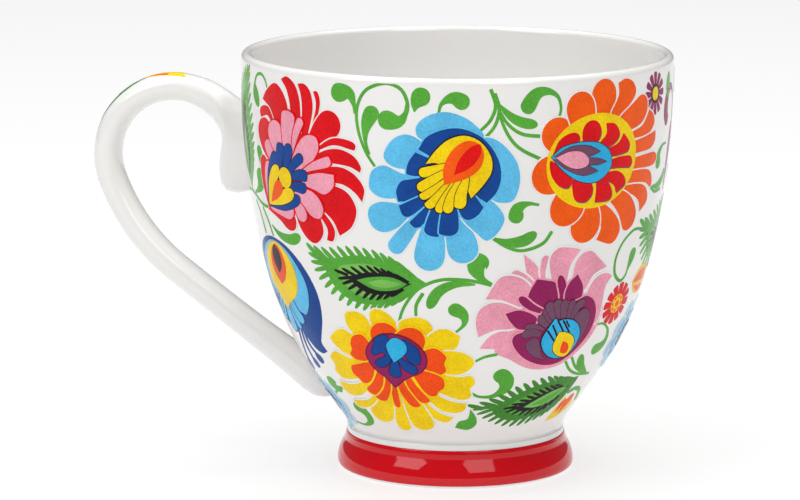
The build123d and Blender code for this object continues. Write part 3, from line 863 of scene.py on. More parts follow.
yellow_orange = [
    petal([(0, 1), (-1.6, 9.3)], 7.8, root=0.5),
    petal([(2, 1), (8.3, 7.7)], 7.2, root=0.5, point=1.3),
    shape((6, 0), (8.6, 2.0), (11.4, 2.8), (13.6, 0.5), (12.8, -1.8), (12.9, -4.0), (10.7, -5.4),
          (8.4, -4.2)),
    shape((4.5, -4), (8.6, -4.4), (11.6, -6.2), (11.5, -9.2), (9.8, -10.8), (8.9, -12.2), (7.3, -12.2),
          (5.8, -9.8)),
    petal([(2.5, -5), (3.8, -10), (6.1, -14.8)], 2.8, point=(0.5, 1.2), root=0.5),
    petal([(1.0, -5), (1.0, -10), (3.2, -16.6)], 2.7, point=(0.4, 1.5), root=0.5),
    petal([(-0.8, -6), (-1.4, -11), (-1.8, -17.2)], 1.8, point=1.8, root=0.8),
    petal([(-2.6, -5), (-3.6, -10), (-6.2, -15.2)], 3.3, point=(1.0, 0.4), root=0.5),
    petal([(-3.6, -4.5), (-5.6, -9.5), (-8.6, -13.0)], 3.0, point=(0.8, 0.5), root=0.5),
    shape((-5, -1.6), (-9.0, -3.4), (-12.2, -4.6), (-12.4, -7), (-11.0, -8.4), (-9.5, -9.9), (-7.2, -8.6),
          (-5.5, -5)),
    shape((-5, 2), (-7, 5.3), (-9.9, 4.6), (-11.0, 2.3), (-10.9, 0.6), (-11.7, -0.9), (-10, -2.4),
          (-6.5, -2)),
]
heart_body = shape((-0.9, -9.9, 1), (-2.6, -7.0), (-5.4, -4.2), (-6.7, -0.5), (-5.6, 2.6), (-2.6, 5.3),
                   (1.4, 6.2), (5.4, 4.9), (8.2, 1.8), (8.4, -1.6), (6.6, -4.4), (2.4, -6.8))
heart_navy = [
    petal([(0.2, -1.0), (-3.2, 3.4), (-0.2, 5.6)], 2.0),
    shape((-0.2, 5.4), (-2.8, 4.2), (-5.0, 1.4), (-4.6, -0.2), (-2, 1.4), (-0.6, 2.6)),
    petal([(0.0, 0.6), (-2.0, -1.8), (-4.6, -3.2)], 2.5, point=1.4),
    petal([(0.8, -0.6), (-0.2, -6.6)], 3.0),
    petal([(1.6, -0.2), (3.8, -3.2), (5.9, -4.2)], 2.8, point=1.2),
    shape((3.8, 5.0), (6.6, 3.0), (7.3, 0.4), (6.4, -2.2), (4.2, -1.2), (3.4, 1.6)),
]
heart_drop = shape((0.4, -1.9, 1), (-0.7, 1.2), (-0.6, 3.6), (1.6, 5.4), (4.0, 4.2), (4.2, 1.8),
                   (2.6, -0.2))
yellow_flower = parted("yellow", yellow_petals, 0.35) + [("yellow", [disc(0, -3, 22, 20)])]
yellow_flower += parted("flame", yellow_orange, 0.4, "yellow") + [
    edged("mulberry", 0.35, [heart_body]),
    ("plum", [heart_body]),
    edged("ink", 0.2, heart_navy),
    ("navy", heart_navy),
    edged("ink", 0.15, [heart_drop]),
    ("azure", [heart_drop]),
]
fire("yellow_rosette", yellow_flower, front - 21.5, 36, replaces=["yellow_rosette"])


# ---- Pink tulip -------------------------------------------------------------------------------
# Pink petals with pointed tips cup a plum flower with mauve inner petals, a sky blue heart
# and a yellow and orange seed.

tulip_pink = [
    shape((-10.9, 17.0, 1), (-7.6, 14.4), (-5.6, 11.4), (-5, 8), (-7.5, 8), (-9.4, 12.0)),
    petal([(-4, 8), (-5.2, 12), (-5.0, 16.3)], 1.8, point=(1.4, 0.4)),
    petal([(-5, 6), (-9, 10.0), (-13.2, 12.4)], 2.2, point=(0.7, 1.2)),
    shape((4.9, 17.0, 1), (1.6, 17.8), (-1.8, 17.9), (-3.7, 15.6), (-3.2, 12), (-1.5, 8), (1.6, 8),
          (2.3, 13)),
    shape((14.6, 11.4, 1), (11.6, 13.8), (8.4, 16.2), (5.2, 15.6), (3.6, 12.8), (4, 8), (7.6, 6),
          (10.2, 9.8)),
    shape((17.3, 8.6, 1), (14.6, 9.7), (11.4, 9.0), (9.3, 6.4), (9, 3), (12, -4), (15.0, -3), (15.2, 2),
          (15.3, 6)),
    shape((-18.8, 5.6, 1), (-17.4, 9.0), (-15.6, 11.4), (-12.2, 11.4), (-8.6, 9.2), (-6, 4.6), (-10, 3.2),
          (-14.6, 5.2)),
    shape((-18.8, -4.8, 1), (-20.2, -0.5), (-19.8, 2.8), (-17, 4.6), (-13, 4.0), (-8, 1.0), (-10, -2.5),
          (-15, -2.9)),
    shape((-17.8, -8.2, 1), (-16, -4.8), (-13, -3.4), (-9.5, -4.4), (-8, -7), (-8, -10.0), (-13, -8.6)),
    shape((-14, -8), (-9, -12.0), (-4, -14.9), (1, -15.8), (6, -14.8), (10.6, -11.6), (14.4, -7),
          (16.2, -1.0), (14, 2), (4, 4), (-6, 2)),
]
tulip_plum = [
    shape((-6.6, 10.3, 1), (-3.6, 9.7), (-1.2, 8.8), (1.0, 4.8), (-2, 1), (-5.6, 1.6), (-8.2, 5.8)),
    petal([(1, 1), (1.4, 5.5), (-0.4, 10.8)], 2.3, root=0.6, point=2.2),
    shape((4.9, 10.6, 1), (2.6, 8.4), (1.9, 4.8), (4, 1), (6.6, 2.6), (7.2, 6.8)),
    petal([(-4, 1.6), (-7.2, 3.2), (-10.5, 5.9)], 2.0, root=0.6, point=2.2),
    shape((-13.3, 1.6, 1), (-9.6, 2.3), (-5, 0), (-6, -2.8), (-9.2, -2.9), (-11.8, -0.6)),
    shape((6, 3.6), (9.0, 4.4), (12, 2.4), (13.4, -1.6), (12.4, -6.6), (8.4, -11.6), (4, -14.2),
          (-0.8, -14.0), (-6, -11.4), (-9.6, -7.4), (-9.8, -4.6), (-6, -3), (0, 2)),
]
tulip_mauve = [
    shape((-6.2, -6.8), (-4.0, -5.8), (-2.4, -8.0), (-1.2, -11.2), (0.4, -12.4), (-3.0, -11.4),
          (-5.6, -9.0)),
    petal([(-3, -5), (-5, -4.2), (-8.0, -4.6)], 2.3, root=0.5),
    petal([(-2.4, -3.6), (-5, -2.4), (-7.6, -2.4)], 1.3, root=0.5),
    petal([(-1.4, -2.4), (-4.2, 0.4)], 2.6, root=0.7),
    petal([(-0.8, -1.6), (-3.2, 2.4)], 2.0, root=0.6),
    petal([(0.2, -1.0), (-2.6, 3.9)], 2.3, root=0.6),
    petal([(1.4, -0.8), (-0.2, 4.4)], 2.2, root=0.6),
    petal([(2.6, -0.8), (2.0, 4.2)], 2.2, root=0.6, point=1.4),
    petal([(4.2, -1), (4.6, 3.9)], 2.0, root=0.6, point=1.4),
    petal([(5.2, -1.2), (6.4, 2.0), (8.6, 3.0)], 2.2, root=0.5),
    shape((6.0, -1.0), (7.8, 0.8), (9.6, 0.8), (11.0, -1.4), (10.6, -5.2), (8.6, -8.6), (7.6, -5),
          (7.2, -3.0)),
]
tulip_heart = shape((0.2, -0.6, 1), (1.4, -1.4), (3.0, -1.2), (5.8, -1.8), (8.2, -4.0), (8.9, -7.4),
                    (7.0, -11.4), (3.6, -12.4), (0.4, -11.2), (-1.8, -8.4), (-2.2, -5.4))
heart_lines = [
    petal([(1.0, -1.2), (3.4, -4.6)], 0.5, root=1, point=0.2),
    petal([(2.6, -1.4), (5.4, -5.2)], 0.5, root=1, point=0.2),
    petal([(-0.2, -2.4), (1.9, -5.8)], 0.5, root=1, point=0.2),
    petal([(-1.4, -3.8), (1.4, -7.2)], 0.5, root=1, point=0.2),
    petal([(3.6, -1.6), (5.0, -3.6)], 0.45, root=1, point=0.2),
]
tulip_seed = shape((2.2, -4.6, 1), (4.4, -5.0), (6.6, -6.2), (7.7, -8.2), (7.0, -11.0), (5.4, -12.2),
                   (2.8, -11.2), (1.3, -8.6))
seed_core = shape((4.0, -7.4, 1), (5.6, -8.2), (6.4, -9.8), (5.8, -11.2), (4.2, -10.8), (3.8, -9.2))
pink_flower = [("pink", tulip_pink[-2:])] + parted("pink", tulip_pink[:-2], 0.45)
pink_flower += parted("plum", tulip_plum, 0.4, "pink")
pink_flower += parted("mauve", tulip_mauve, 0.16, "mulberry") + [
    edged("ink", 0.25, [tulip_heart]),
    ("azure", [tulip_heart]),
    ("ink", heart_lines + [grown(tulip_seed, 0.2)]),
    ("yellow", [tulip_seed]),
    ("flame", [seed_core]),
]
fire("pink_tulip", pink_flower, front + 31, 46, replaces=["pink_tulip"])


# ---- Peacock flower ---------------------------------------------------------------------------
# A peacock's eye: orange round a dark pupil, then yellow, sky blue and navy, with a fringe of
# blue feathers and three drops below.

fringe = [
    petal([(-3.2, 0), (-3.9, -10.2)], 3.6, root=0.5),
    petal([(-0.6, -1), (-0.4, -5), (0.5, -8.8)], 2.0, root=0.6),
    petal([(0.5, 0.5), (1.5, -3.5), (3.6, -6.6)], 3.4, root=0.4),
    petal([(-4.5, -1), (-8, -7.2)], 2.2, root=0.6),
    petal([(-5.5, 0), (-9.2, -5.6)], 1.8, root=0.6),
]
tassels = [
    stem((1.5, -8.0), (1.4, -13), (3.0, -16.0), width=1.2),
    petal([(2.6, -15.4), (4.0, -18.4)], 3.1, root=0.4),
    stem((0.3, -9), (-1, -14), (-1.0, -18), width=1.2),
    petal([(-0.8, -17.4), (-0.3, -20.7)], 2.9, root=0.4),
    stem((-1, -8.5), (-3.5, -14), (-6.0, -19.5), width=1.2),
    petal([(-5.4, -18.8), (-7.2, -22.4)], 3.3, root=0.4),
]
peacock_navy = shape((-15.5, 7), (-14, 10.5), (-9, 14), (-4, 15.4), (1, 15.2), (6, 13.5), (10.5, 9.8),
                     (13.2, 5), (13.7, 0.5), (12.3, -4.5), (9.5, -9.2), (8.2, -11.5), (9, -13.8, 1),
                     (6.5, -14.8), (4, -13.8), (2, -11), (0, -9), (-4, -9), (-8, -8), (-12, -4), (-15, 2))
peacock_sky = shape((-12.5, 8), (-9, 12), (-4, 14.4), (1, 14.4), (5.5, 12.2), (9, 8), (10.2, 4), (9.3, 0),
                    (7.5, -2.8), (6, -4, 1), (3.5, -3), (2, -0.5), (0, -2), (-5, -3), (-9, -1), (-12.5, 3))
peacock_yellow = shape((-9.8, 6), (-8.3, 10), (-4.5, 13.3), (-0.5, 14.2), (3.5, 12.5), (6.2, 8.5),
                       (6.2, 4.5), (4.3, 1.2), (1.4, -0.6), (-1, -2), (-3, -3.3), (-5, -1.8), (-6.4, 0.6),
                       (-9, 2.5))
peacock_orange = shape((-0.8, 13.9), (-4, 11.8), (-5.7, 8.5), (-4.8, 5.5), (-2, 3.0, 1), (1, 5), (2.8, 8.5),
                       (2, 12))
peacock_pupil = shape((-1.2, 13.5), (0.7, 11.8), (0.9, 9.2), (-0.3, 7.2), (-1.8, 6.0, 1), (-3.4, 8.3),
                      (-3.6, 10.8), (-2.6, 12.8))
peacock_layers = [("navy", [peacock_navy] + tassels), edged("ink", 0.15, [peacock_sky])]
peacock_layers += [("sky", [peacock_sky])] + parted("sky", fringe, 0.4, "navy") + [
    edged("gold", 0.2, [peacock_yellow]),
    ("yellow", [peacock_yellow]),
    ("flame", [peacock_orange]),
    ("black", [peacock_pupil]),
]
fire("peacock_flower", peacock_layers, front - 62, 47, replaces=["peacock_flower"])


# ---- Feather leaves ---------------------------------------------------------------------------
# Each leaf has a paler green heart inside a comb of darker barbs, and holds a black comb
# with a small green leaf in it.

feather_body = shape((-9.4, 3.2, 1), (-5, 3.8), (0, 4.9), (5, 4.7), (9, 3.2), (12.5, 0.9), (16.4, -0.1, 1),
                     (12.5, -1.6), (10, -3.2), (5, -5.3), (0, -5.7), (-4, -4.4), (-7.2, -1.4))
feather_rib = (-12, 3.4, 16, -0.1)
feather_barbs = barbs([(-15.3, 7.4), (-12.8, 7.0), (-10.2, 7.0), (-7.6, 7.3), (-5.1, 7.8), (-2.6, 8.1),
                       (-0.2, 8.3), (2.2, 8.1), (4.6, 7.8), (6.7, 7.2), (8.7, 6.4), (10.4, 5.3), (12, 3.9)],
                      feather_rib, 5.5, 6.0, 1.3)
feather_barbs += barbs([(-14.9, 4.9), (-14.3, 2.7), (-13.4, 0.5), (-12.2, -1.7), (-10.6, -3.7),
                        (-8.8, -5.3), (-6.6, -6.8), (-4.3, -7.8), (-2, -8.3), (0.2, -8.6), (2.2, -8.4),
                        (4.1, -7.9), (6, -7.4), (7.9, -6.6), (9.7, -5.6),
                        (11.5, -4.4)], feather_rib, 7.5, 5.6, 1.2)
comb_core = shape((-2.4, 0.1), (0.5, 1.2), (4, 1.9), (8, 1.4), (13.8, -0.5, 1), (9, -3.0), (5, -3.9),
                  (1.2, -3.3), (-1.4, -1.6))
comb_rib = (-6, 0.6, 13.7, -0.5)
comb_barbs = barbs([(-6.8, 1.5), (-4.4, 2.2), (-1.8, 2.9), (0.6, 3.4), (2.7, 3.6), (4.6, 3.5), (6.3, 3.2),
                    (8.0, 2.7), (9.6, 2.0)], comb_rib, 4.5, 4.2, 0.9)
comb_barbs += barbs([(-5.9, -0.7), (-4.8, -2), (-3.3, -3.3), (-1.4, -4.6), (0.6, -5.3), (2.4, -5.5),
                     (4.3, -5.4), (6.2, -5.0), (8.2, -4.2)], comb_rib, 5.5, 4.2, 0.9)
inner_leaf = shape((-0.4, -0.5, 1), (3, 0.5), (7, 1.0), (10, 0.7), (12.8, -0.6, 1), (10, -2.2), (6, -2.8),
                   (3, -2.2))
inner_light = shape((2.4, -0.9, 1), (6, 0.1), (9.5, -0.1), (11.2, -0.7), (8.2, -1.8), (5, -1.8))
feather_leaf = [
    ("green", [grown(feather_body, 1.0)] + feather_barbs),
    ("leaf", [shape((-5.6, 1.8), (-1, 3.6), (4, 3.9), (9, 2.2), (13, -0.2), (9, -3.3), (4, -4.9),
                    (-2, -3.8))]),
    ("black", comb_barbs + [comb_core]),
    ("green", [inner_leaf]),
    ("leaf", [inner_light]),
]
fire("upper_feather_leaf", feather_leaf, front - 29, 55.5, replaces=["upper_feather_leaf"])

low_body = shape((-7.2, -4.6, 1), (-2.6, -1.2), (1, 0.9), (5, 1.9), (9, 1.8), (12.6, 1.3), (15.6, 2.4, 1),
                 (13.3, -0.8), (11, -3.3), (7.6, -5.7), (3.8, -7.9), (-0.9, -8.6), (-4.8, -7.2))
low_rib = (-11, -4.8, 15.6, 2.4)
low_barbs = barbs([(-14.6, -2.9), (-11.8, -2.1), (-9.7, -1.0), (-7.7, 0.3), (-5.8, 1.6), (-4, 2.7),
                   (-2, 3.6), (0.2, 4.3), (2.4, 4.8), (4.6, 5), (6.5, 4.8), (8.4, 4.3),
                   (10.2, 3.7)], low_rib, 4.5, 5.6, 1.3)
low_barbs += barbs([(-12.7, -4.8), (-11.2, -6.5), (-9.4, -8), (-7.5, -9.3), (-5.5, -10.4), (-3.4, -11.3),
                    (-1.2, -11.7), (1, -11.7), (3.2, -11.3), (5.3, -10.5), (7.3, -9.6), (9.2, -8.4),
                    (10.8, -7.0), (12.1, -5.4), (13.2, -3.6)], low_rib, 8.5, 5.4, 1.2)
comb_line = (-4, -5.4, 13.6, 0.5)
low_comb = barbs([(-4.9, -4.9), (-3.2, -3.5), (-1.4, -2.2), (0.2, -1.0), (1.7, 0.0), (3.2, 0.8), (4.8, 1.3),
                  (6.4, 1.6), (8.0, 1.7)], comb_line, 4.0, 3.6, 0.9)
low_comb += barbs([(-3.9, -6.3), (-2.0, -7.3), (0.1, -7.9), (1.9, -8.2), (3.7, -8.2), (5.5, -7.8),
                   (7.2, -7.0), (9.0, -5.7)], comb_line, 6.0, 3.8, 0.9)
low_core = shape((-1.6, -4.9), (1.4, -2.9), (5, -0.9), (9, 0.2), (13.6, 0.5, 1), (9.8, -2.8), (5.8, -5.6),
                 (1, -6.5))
low_light = shape((0.6, -5, 1), (4, -2.6), (7.5, -0.7), (10.5, 0.1), (12.8, 0.2, 1), (11, -2), (8.2, -4.2),
                  (4.5, -5.5))
low_leaf = [
    ("moss", [grown(low_body, 0.9)] + low_barbs),
    ("green", [shape((-4.2, -4.4), (0, -1.0), (5, 1.1), (10, 0.9), (13, 0.4), (9, -3.9), (4, -7.1),
                     (-1, -7.4))]),
    ("black", low_comb + [low_core]),
    ("leaf", [low_light]),
    ("green", [shape((2.6, -4.6, 1), (6, -2.6), (9.2, -1.0), (11.4, -0.6), (9, -3.0), (6, -4.6))]),
]
fire("lower_feather_leaf", low_leaf, front + 29, 25, replaces=["lower_feather_leaf"])
fire("right_feather_leaf", feather_leaf, front + 81.5, 61.5, replaces=["right_feather_leaf"],
     turn=8, size=1.12)
fire("left_feather_leaf", feather_leaf, front - 77, 89.4, replaces=["left_feather_leaf"],
     turn=-87, size=0.98)


# ---- Small flowers ----------------------------------------------------------------------------
# Two daisies and a plum scroll fill gaps on the right, and a pale blue flower on each side.
# They are printed and fired like the large flowers.

plum_daisy = [
    ("plum", wreath(0, 0, 12, 1.4, 5.4, 1.75, point=0.5, root=0.35)),
    ("black", [disc(0, 0, 4.8, 4.8)]),
    ("yellow", [disc(0, 0, 3.4, 3.4)]),
]
fire("plum_daisy", plum_daisy, front + 63.5, 98.3, replaces=["plum_daisy"])
red_daisy = [
    ("red", wreath(0, 0, 12, 1.6, 5.7, 2.1, point=0.35, root=0.4)),
    ("gold", [disc(0, 0, 5.2, 5.2)]),
    ("flame", wreath(0, 0, 8, 1.2, 2.4, 0.8)),
    ("yellow", [disc(0, 0, 3.0, 3.0)]),
    ("orange", [disc(0, 0, 1.8, 1.8)]),
]
fire("red_daisy", red_daisy, front + 58.4, 46.2, replaces=["red_daisy"])
scroll = [
    ("plum", [comma(3.6, (2.0, -13), (3.4, -5), (4.6, 3), (4.8, 9), (2.4, 12.8), (-1.4, 12.4), (-3.4, 9.2),
                    (-3.2, 6.0), (-1.2, 4.8)),
              blade(3.4, (2.0, -13), (2.4, -5), (4.4, 4))]),
    ("lilac", [blade(1.4, (2.2, -9), (3.0, -3), (4.0, 2))]),
]
fire("plum_scroll", scroll, front + 76, 85.5, replaces=["plum_scroll"])
pale_flower = parted("mist", wreath(0, 0, 9, 3, 10.4, 6.4), 0.3)
pale_flower += parted("haze", wreath(0, 0, 8, 1.5, 6.6, 3.9, start=20), 0.25, "mist")
pale_flower += [("ink", wreath(0, 0, 8, 0.5, 3.9, 1.9, start=0)), ("azure", [disc(0, 0, 3.6, 3.6)])]
fire("pale_blue_flower", pale_flower, front + 78, 36, replaces=["pale_blue_flower"])
fire("left_pale_flower", pale_flower, front - 76, 18.5, replaces=["left_pale_flower"],
     size=0.9)


# ---- Sprigs -----------------------------------------------------------------------------------
# Thin green stems and curled leaves fill the white ground between the flowers, in one colour.
# Two small tulips among them take two or three.

rim_left = [
    stem((-16.7, 4), (-19.5, 8), (-21.5, 13), (-22, 18), (-20.5, 22), (-18, 24), (-14, 25), (-10.5, 23.5),
         (-9, 20), (-9.7, 17), (-11.5, 15)),
    comma(4.6, (-9.1, 20.4), (-9.7, 17.6), (-11.6, 15.9), (-16.4, 16.6)),
    comma(4.0, (-18.7, 7.5), (-19.7, 11), (-19.3, 15), (-17.2, 19.2)),
    petal([(-7.4, 18.4), (-6.8, 20.6), (-4.4, 23.8)], 4.6, root=0.1, swell=1.4),
    comma(3.9, (-1.6, 18), (-0.8, 20.5), (2, 21.8), (5.6, 20.0)),
    comma(4.6, (-22.4, 17.2), (-22.9, 19.8), (-24.4, 22.0), (-29.2, 21.8)),
]
rim_right = [
    stem((8.2, 13.8), (10.8, 16.5), (12, 20), (10.8, 24)),
    stem((9.2, 12), (11.8, 15), (12.9, 19), (11.8, 23)),
    blade(2.6, (12.6, 20.5), (15.5, 17.5), (18.5, 15.8), (22.5, 15)),
    stem((12.8, 19), (15, 15.5), (18.5, 13), (23.4, 12.2)),
    stem((12.8, 18), (15, 13), (18, 9.5), (23.4, 6.6)),
    comma(3.8, (23, -4.6), (20, -4.2), (17.5, -5.5), (17, -9.0)),
    blade(3.0, (11.3, -12.5), (15, -13.8), (19, -13.5), (22.4, -11.6)),
    stem((11.2, -12.5), (15, -15), (19, -16), (24, -14.5), (26.5, -11.5)),
]
orange_top = [
    comma(3.9, (-13.8, 13.5), (-12.9, 16.5), (-13.8, 19.6), (-16.6, 21.0), (-19.6, 20.2), (-22.4, 16.0)),
]
middle_vine = [
    comma(5.0, (12, -2), (9.3, 0), (8.4, 3), (10.9, 5.2)),
    stem((-11, -13.5), (-9.5, -8.5), (-6, -3.5), (-1, -0.9), (4, -0.6), (8.5, -1.2), (12, -2.2)),
    stem((-6.5, -10.8), (-6.3, -7.5), (-4.6, -4.3)),
    blade(2.8, (8, -1.9), (3, -1.9), (-1, -4), (-3.4, -8.4)),
    comma(3.6, (3, -15), (5.2, -12.5), (4.8, -9.8), (1.6, -7.8)),
]
low_curl = [comma(4.6, (3.5, 1.3), (6, -0.2), (9.5, 0), (12.3, 2.5), (12.2, 5.7), (9.6, 7.7))]
yellow_curls = [
    shape((11.0, -13.6, 1), (12.4, -11.4), (14.5, -10.6), (15.4, -9.2), (16.2, -6.8, 1), (17.0, -9.8),
          (16.4, -12.6), (13.9, -14.4)),
    comma(3.6, (-15, -16), (-12.8, -14), (-12.9, -11.8), (-14.7, -9.9), (-17.2, -9.6)),
]
left_curl = [
    stem((18.2, 41.4), (17.2, 43.6), (15.2, 45.0), (12.8, 44.8), (11.2, 43.2), (10.8, 40.8), width=0.8),
    blade(3.3, (10.6, 42.6), (11.4, 40.0), (13.2, 36.8)),
    petal([(13.2, 16), (13.9, 20), (11.4, 27)], 3.0, root=0.2),
]
low_left = [
    comma(5.0, (5.5, 2.5), (3.5, 2), (0.8, 4.8)),
    stem((-1, -1.3), (2, 0.8), (6.2, 2.6)),
    comma(3.6, (0.5, -10), (5, -10), (8.3, -8), (8.5, -5), (5.8, -3.0)),
]
fan_stems = [
    comma(4.6, (-9.5, 3), (-6, 4.5), (-4, 7), (-5.4, 9.6)),
    stem((-25, 1.5), (-15, 3), (-10, 2.5), (-5, 0.8), (-1, 0.5)),
    stem((-10, 1), (-7.5, -2), (-6, -7)),
    stem((-5, 0), (-2.5, -3.5), (-1, -7)),
    blade(2.8, (-0.8, -4), (3, -6), (8, -6.5), (12, -5)),
]
pink_stems = [
    stem((-18.5, -12.5), (-16, -10.8), (-12.8, -10)),
    comma(3.4, (15.5, -4.6), (18, -4.8), (21, -7), (21.8, -10), (20, -12), (16.3, -12.6)),
    blade(2.8, (18, -20), (14, -17), (12.3, -13.0)),
    stem((7.3, -14.3), (10, -17.5), (14, -19.5), (20, -20.6)),
    stem((9, -13.2), (11.5, -16.5), (15, -19)),
]
right_stems = [
    comma(3.2, (2.5, 25), (-1, 24.8), (-3.5, 22.5), (-2.6, 19.3)),
    blade(2.5, (-5.8, 15.2), (-2, 14.8), (2, 16), (3.8, 18.4)),
    stem((-6.5, 15), (-3, 13.5), (2, 13.5)),
    stem((-8, 4.8), (-12, 5), (-16, 2.5), (-17.6, -1.5), (-16.4, -5.6), (-13.0, -8.0), (-11, -6.8),
         (-10.6, -4.6)),
    petal([(-10.8, -5.6), (-10.0, -2.8), (-9.6, 0.2)], 3.0, root=0.2),
    blade(3.4, (2.4, 36.2), (1.6, 39), (2.6, 42.8)),
]
low_tulip = [
    ("yellow", [shape((10.2, -11.8, 1), (12.5, -7), (14.5, -3.5, 1), (16, -5), (18, -4, 1), (20, -8),
                      (15, -11))]),
    ("flame", [blade(2.6, (14.6, -9.8), (16.4, -7), (18.3, -3.6)),
               blade(1.8, (13, -9.4), (14, -7), (15.6, -4.9))]),
    ("green", [stem((14.5, -2.5), (17.5, -1.5), (20.5, -3), (22, -7), width=1.6)]),
]
right_tulip = [
    ("gold", [shape((-5.5, -9.5, 1), (-3, -6.6), (1, -5.4), (5, -6), (6.6, -8.6), (5.4, -12.4), (1, -13.6),
                    (-3, -12.4))]),
    ("flame", [blade(3.4, (-4.4, -9.6), (0, -8.4), (5, -9.0)), blade(1.8, (-3, -11), (0, -12), (4, -12))]),
]
sprig_table = [
    ("rim_sprigs", [
        ("blue_left", -3, 79.2, rim_left), ("blue_right", -3, 79.2, rim_right),
        ("orange_top", 41, 81.2, orange_top), ("left_curl", -78, 58, left_curl),
    ]),
    ("middle_sprigs", [
        ("middle_vine", -4, 57, middle_vine), ("fan_stems", -62, 69.1, fan_stems),
        ("pink_stems", 31, 46, pink_stems), ("right_stems", 72, 60, right_stems),
    ]),
    ("base_sprigs", [
        ("low_curl", 0, 25, low_curl), ("yellow_curls", -21.5, 27, yellow_curls),
        ("low_left", -62, 22, low_left),
    ]),
]
for node, sprigs in sprig_table:
    claim = [node]
    for name, turned, height, outlines in sprigs:
        fire(name, [("green", outlines)], front + turned, height, replaces=claim)
        claim = None
fire("low_tulip", low_tulip, front + 29, 25)
fire("right_tulip", right_tulip, front + 72, 60)


# ---- Foot band --------------------------------------------------------------------------------
# A red glaze is banded round the foot on the wheel. It stops short of the neck and of the
# lower edge, so a white line shows above and below.

band_bottom = 0.9
band_top = 9.4
band_bottom_turn = -math.asin((foot_edge_round - band_bottom) / foot_edge_round)
band_top_turn = math.asin((neck_height - band_top) / ogee_radius)
band_lift = 0.06
band_outside = [on_circle(edge_centre, foot_edge_round + band_lift, angle)
                for angle in steps(band_bottom_turn, 0, 6)]
band_outside += [on_circle(belly_centre, ogee_radius + band_lift, angle)
                 for angle in steps(0, ogee_turn, 10)[1:]]
band_outside += [on_circle(waist_centre, ogee_radius - band_lift, math.pi + angle)
                 for angle in steps(ogee_turn, band_top_turn, 8)[1:]]
band_inside = [on_circle(waist_centre, ogee_radius + band_lift, math.pi + band_top_turn),
               on_circle(belly_centre, ogee_radius - band_lift, ogee_turn),
               on_circle(edge_centre, foot_edge_round - band_lift, band_bottom_turn)]
foot_band = turn_on_wheel("red_foot_band", band_outside + band_inside, closed=True)
red_glaze, _ = principled("red_glaze", Base_Color=(0.68, 0.001, 0.008, 1), Roughness=0.06, IOR=1.45)
foot_band.data.materials.append(red_glaze)
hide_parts("foot_band")


# ---- Slip joints ------------------------------------------------------------------------------
# The cast pieces are stuck together with liquid clay. It is sponged down to low pads round
# the handle's roots and a hollow bead inside the foot, and glazed over.


def slip_pad(name, node, height, across, up, lift):
    """A low pad of slip on the wall behind the handle, thickest at its middle."""
    bm = bmesh.new()
    bmesh.ops.create_uvsphere(bm, u_segments=64, v_segments=32, radius=1.0)
    for vert in bm.verts:
        x, y, z = vert.co.x * across / 2, vert.co.y * up / 2, vert.co.z * lift
        vert.co, _ = lay_on_wall(x, y, z, 180, climb_at(height))
    bmesh.ops.recalc_face_normals(bm, faces=bm.faces[:])
    pad = finish_piece(name, bm)
    pad.data.materials.append(white_glaze)
    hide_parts(node)


pad_width = 12.6
pad_lift = 0.9
slip_pad("upper_slip_pad", "upper_slip_joint", 79.3, pad_width, 27.5, pad_lift)
slip_pad("lower_slip_pad", "lower_slip_joint", 23.2, pad_width, 20.0, pad_lift)

bead_low = Vector((foot_hollow_top + 0.5, neck_height - foot_slip_fillet))
bead_high = Vector((foot_hollow_top - foot_slip_fillet, neck_height))
bead_centre = Vector((bead_high[0], bead_low[1]))
bead_profile = [Vector((bead_centre[0] + math.cos(angle) * (bead_low[0] - bead_centre[0]),
                        bead_centre[1] + math.sin(angle) * foot_slip_fillet))
                for angle in steps(0, math.pi / 2, 10)]
bead = turn_on_wheel("foot_slip_bead", bead_profile + [Vector((foot_hollow_top + 0.4, neck_height))],
                     closed=True)
bead.data.materials.append(white_glaze)
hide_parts("foot_slip_joint")


# ---- Handle enamel ----------------------------------------------------------------------------
# A small tulip lies on top of the loop, with a green stem and two leaves down its outer edge.
# It is printed and fired like the flowers on the wall.

widest_share = 0.96


def lay_on_handle(x, y, lift, azimuth, climb):
    """The place and outward normal of a flat point on the loop's outer edge.

    The azimuth and climb serve only the wall, which is laid on by the same call.
    """
    square = oval_squareness
    share = min(abs(y) / (strip_width / 2), widest_share)
    swell = strip_thickness / 2 * (1 - share ** square) ** (1 / square)
    lean = (strip_thickness / strip_width) * (share / (1 - share ** square) ** (1 / square)) ** (square - 1)
    angle = math.pi / 2 + x / (loop_radius + strip_thickness / 2)
    normal = Vector((-math.cos(angle), math.copysign(lean, y), math.sin(angle))).normalized()
    reach = loop_centre[0] + (loop_radius + swell) * math.cos(angle)
    height = loop_centre[1] + (loop_radius + swell) * math.sin(angle)
    return (Vector((-reach, y, height)) + normal * lift) * MM, normal


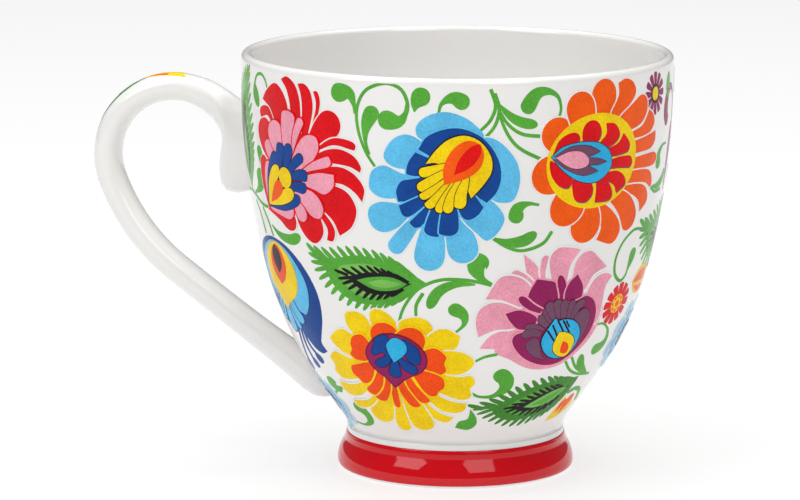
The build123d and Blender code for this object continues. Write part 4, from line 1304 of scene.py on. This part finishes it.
handle_tulip = [
    ("moss", [stem((-24, -1.6), (-18, -2.3), (-12, -2.0), (-7, -0.4), width=1.2),
              comma(2.6, (-16, -1.6), (-13.5, 0.8), (-10.5, 1.8)),
              comma(2.2, (-22, -1.2), (-19.5, 1.0), (-16.5, 1.6))]),
    ("yellow", [shape((-9.4, 0.2, 1), (-6, 2.6), (-1.5, 3.6), (2.2, 3.4, 1), (1.2, 1.8), (3.0, 0.6, 1),
                      (2.2, -0.8), (3.6, -2.9, 1), (-1, -2.6), (-6, -1.8))]),
    ("orange", [petal([(-8, 0.4), (-3, 1.2), (0.6, 1.8)], 2.4),
                petal([(-7, -0.8), (-4, -1.4), (-1.4, -1.8)], 1.1)]),
    ("red", [petal([(-6.8, 0.4), (-4, 1.0), (-1.6, 1.3)], 1.1)]),
]
fire("handle_enamel", handle_tulip, 0, 0, replaces=["handle_enamel"],
     lay=lay_on_handle, climb=0)


# ---- Back of the wall -------------------------------------------------------------------------
# The back carries the front's flowers, leaves and sprigs again, laid on mirrored. The pale
# flowers, the leaves at the far left and right, the right-hand tulip and the scroll are laid once.

for name, slot, layers, turned, height in (
    ("red_fan_flower", "red_enamel", red_fan, -44, 82),
    ("blue_rosette", "sky_blue_enamel", blue_flower, -3, 80),
    ("orange_rosette", "orange_enamel", orange_flower, 41, 82),
    ("feather_leaf", "green_enamel", feather_leaf, -29, 55.5),
    ("yellow_rosette", "yellow_enamel", yellow_flower, -21.5, 36),
    ("pink_tulip", "pink_enamel", pink_flower, 31, 46),
    ("peacock_flower", "navy_enamel", peacock_layers, -62, 47),
    ("low_leaf", "green_enamel", low_leaf, 29, 25),
    ("plum_daisy", "plum_enamel", plum_daisy, 63.5, 98.3),
    ("red_daisy", "red_enamel", red_daisy, 60.5, 46.2),
):
    fire("back_" + name, layers, -front - turned, height, replaces=["back_" + name], mirrored=True)
for node, sprigs in sprig_table:
    for name, turned, height, outlines in sprigs:
        fire("back_" + name, [("green", outlines)], -front - turned, height, mirrored=True)
fire("back_low_tulip", low_tulip, -front - 29, 25, mirrored=True)
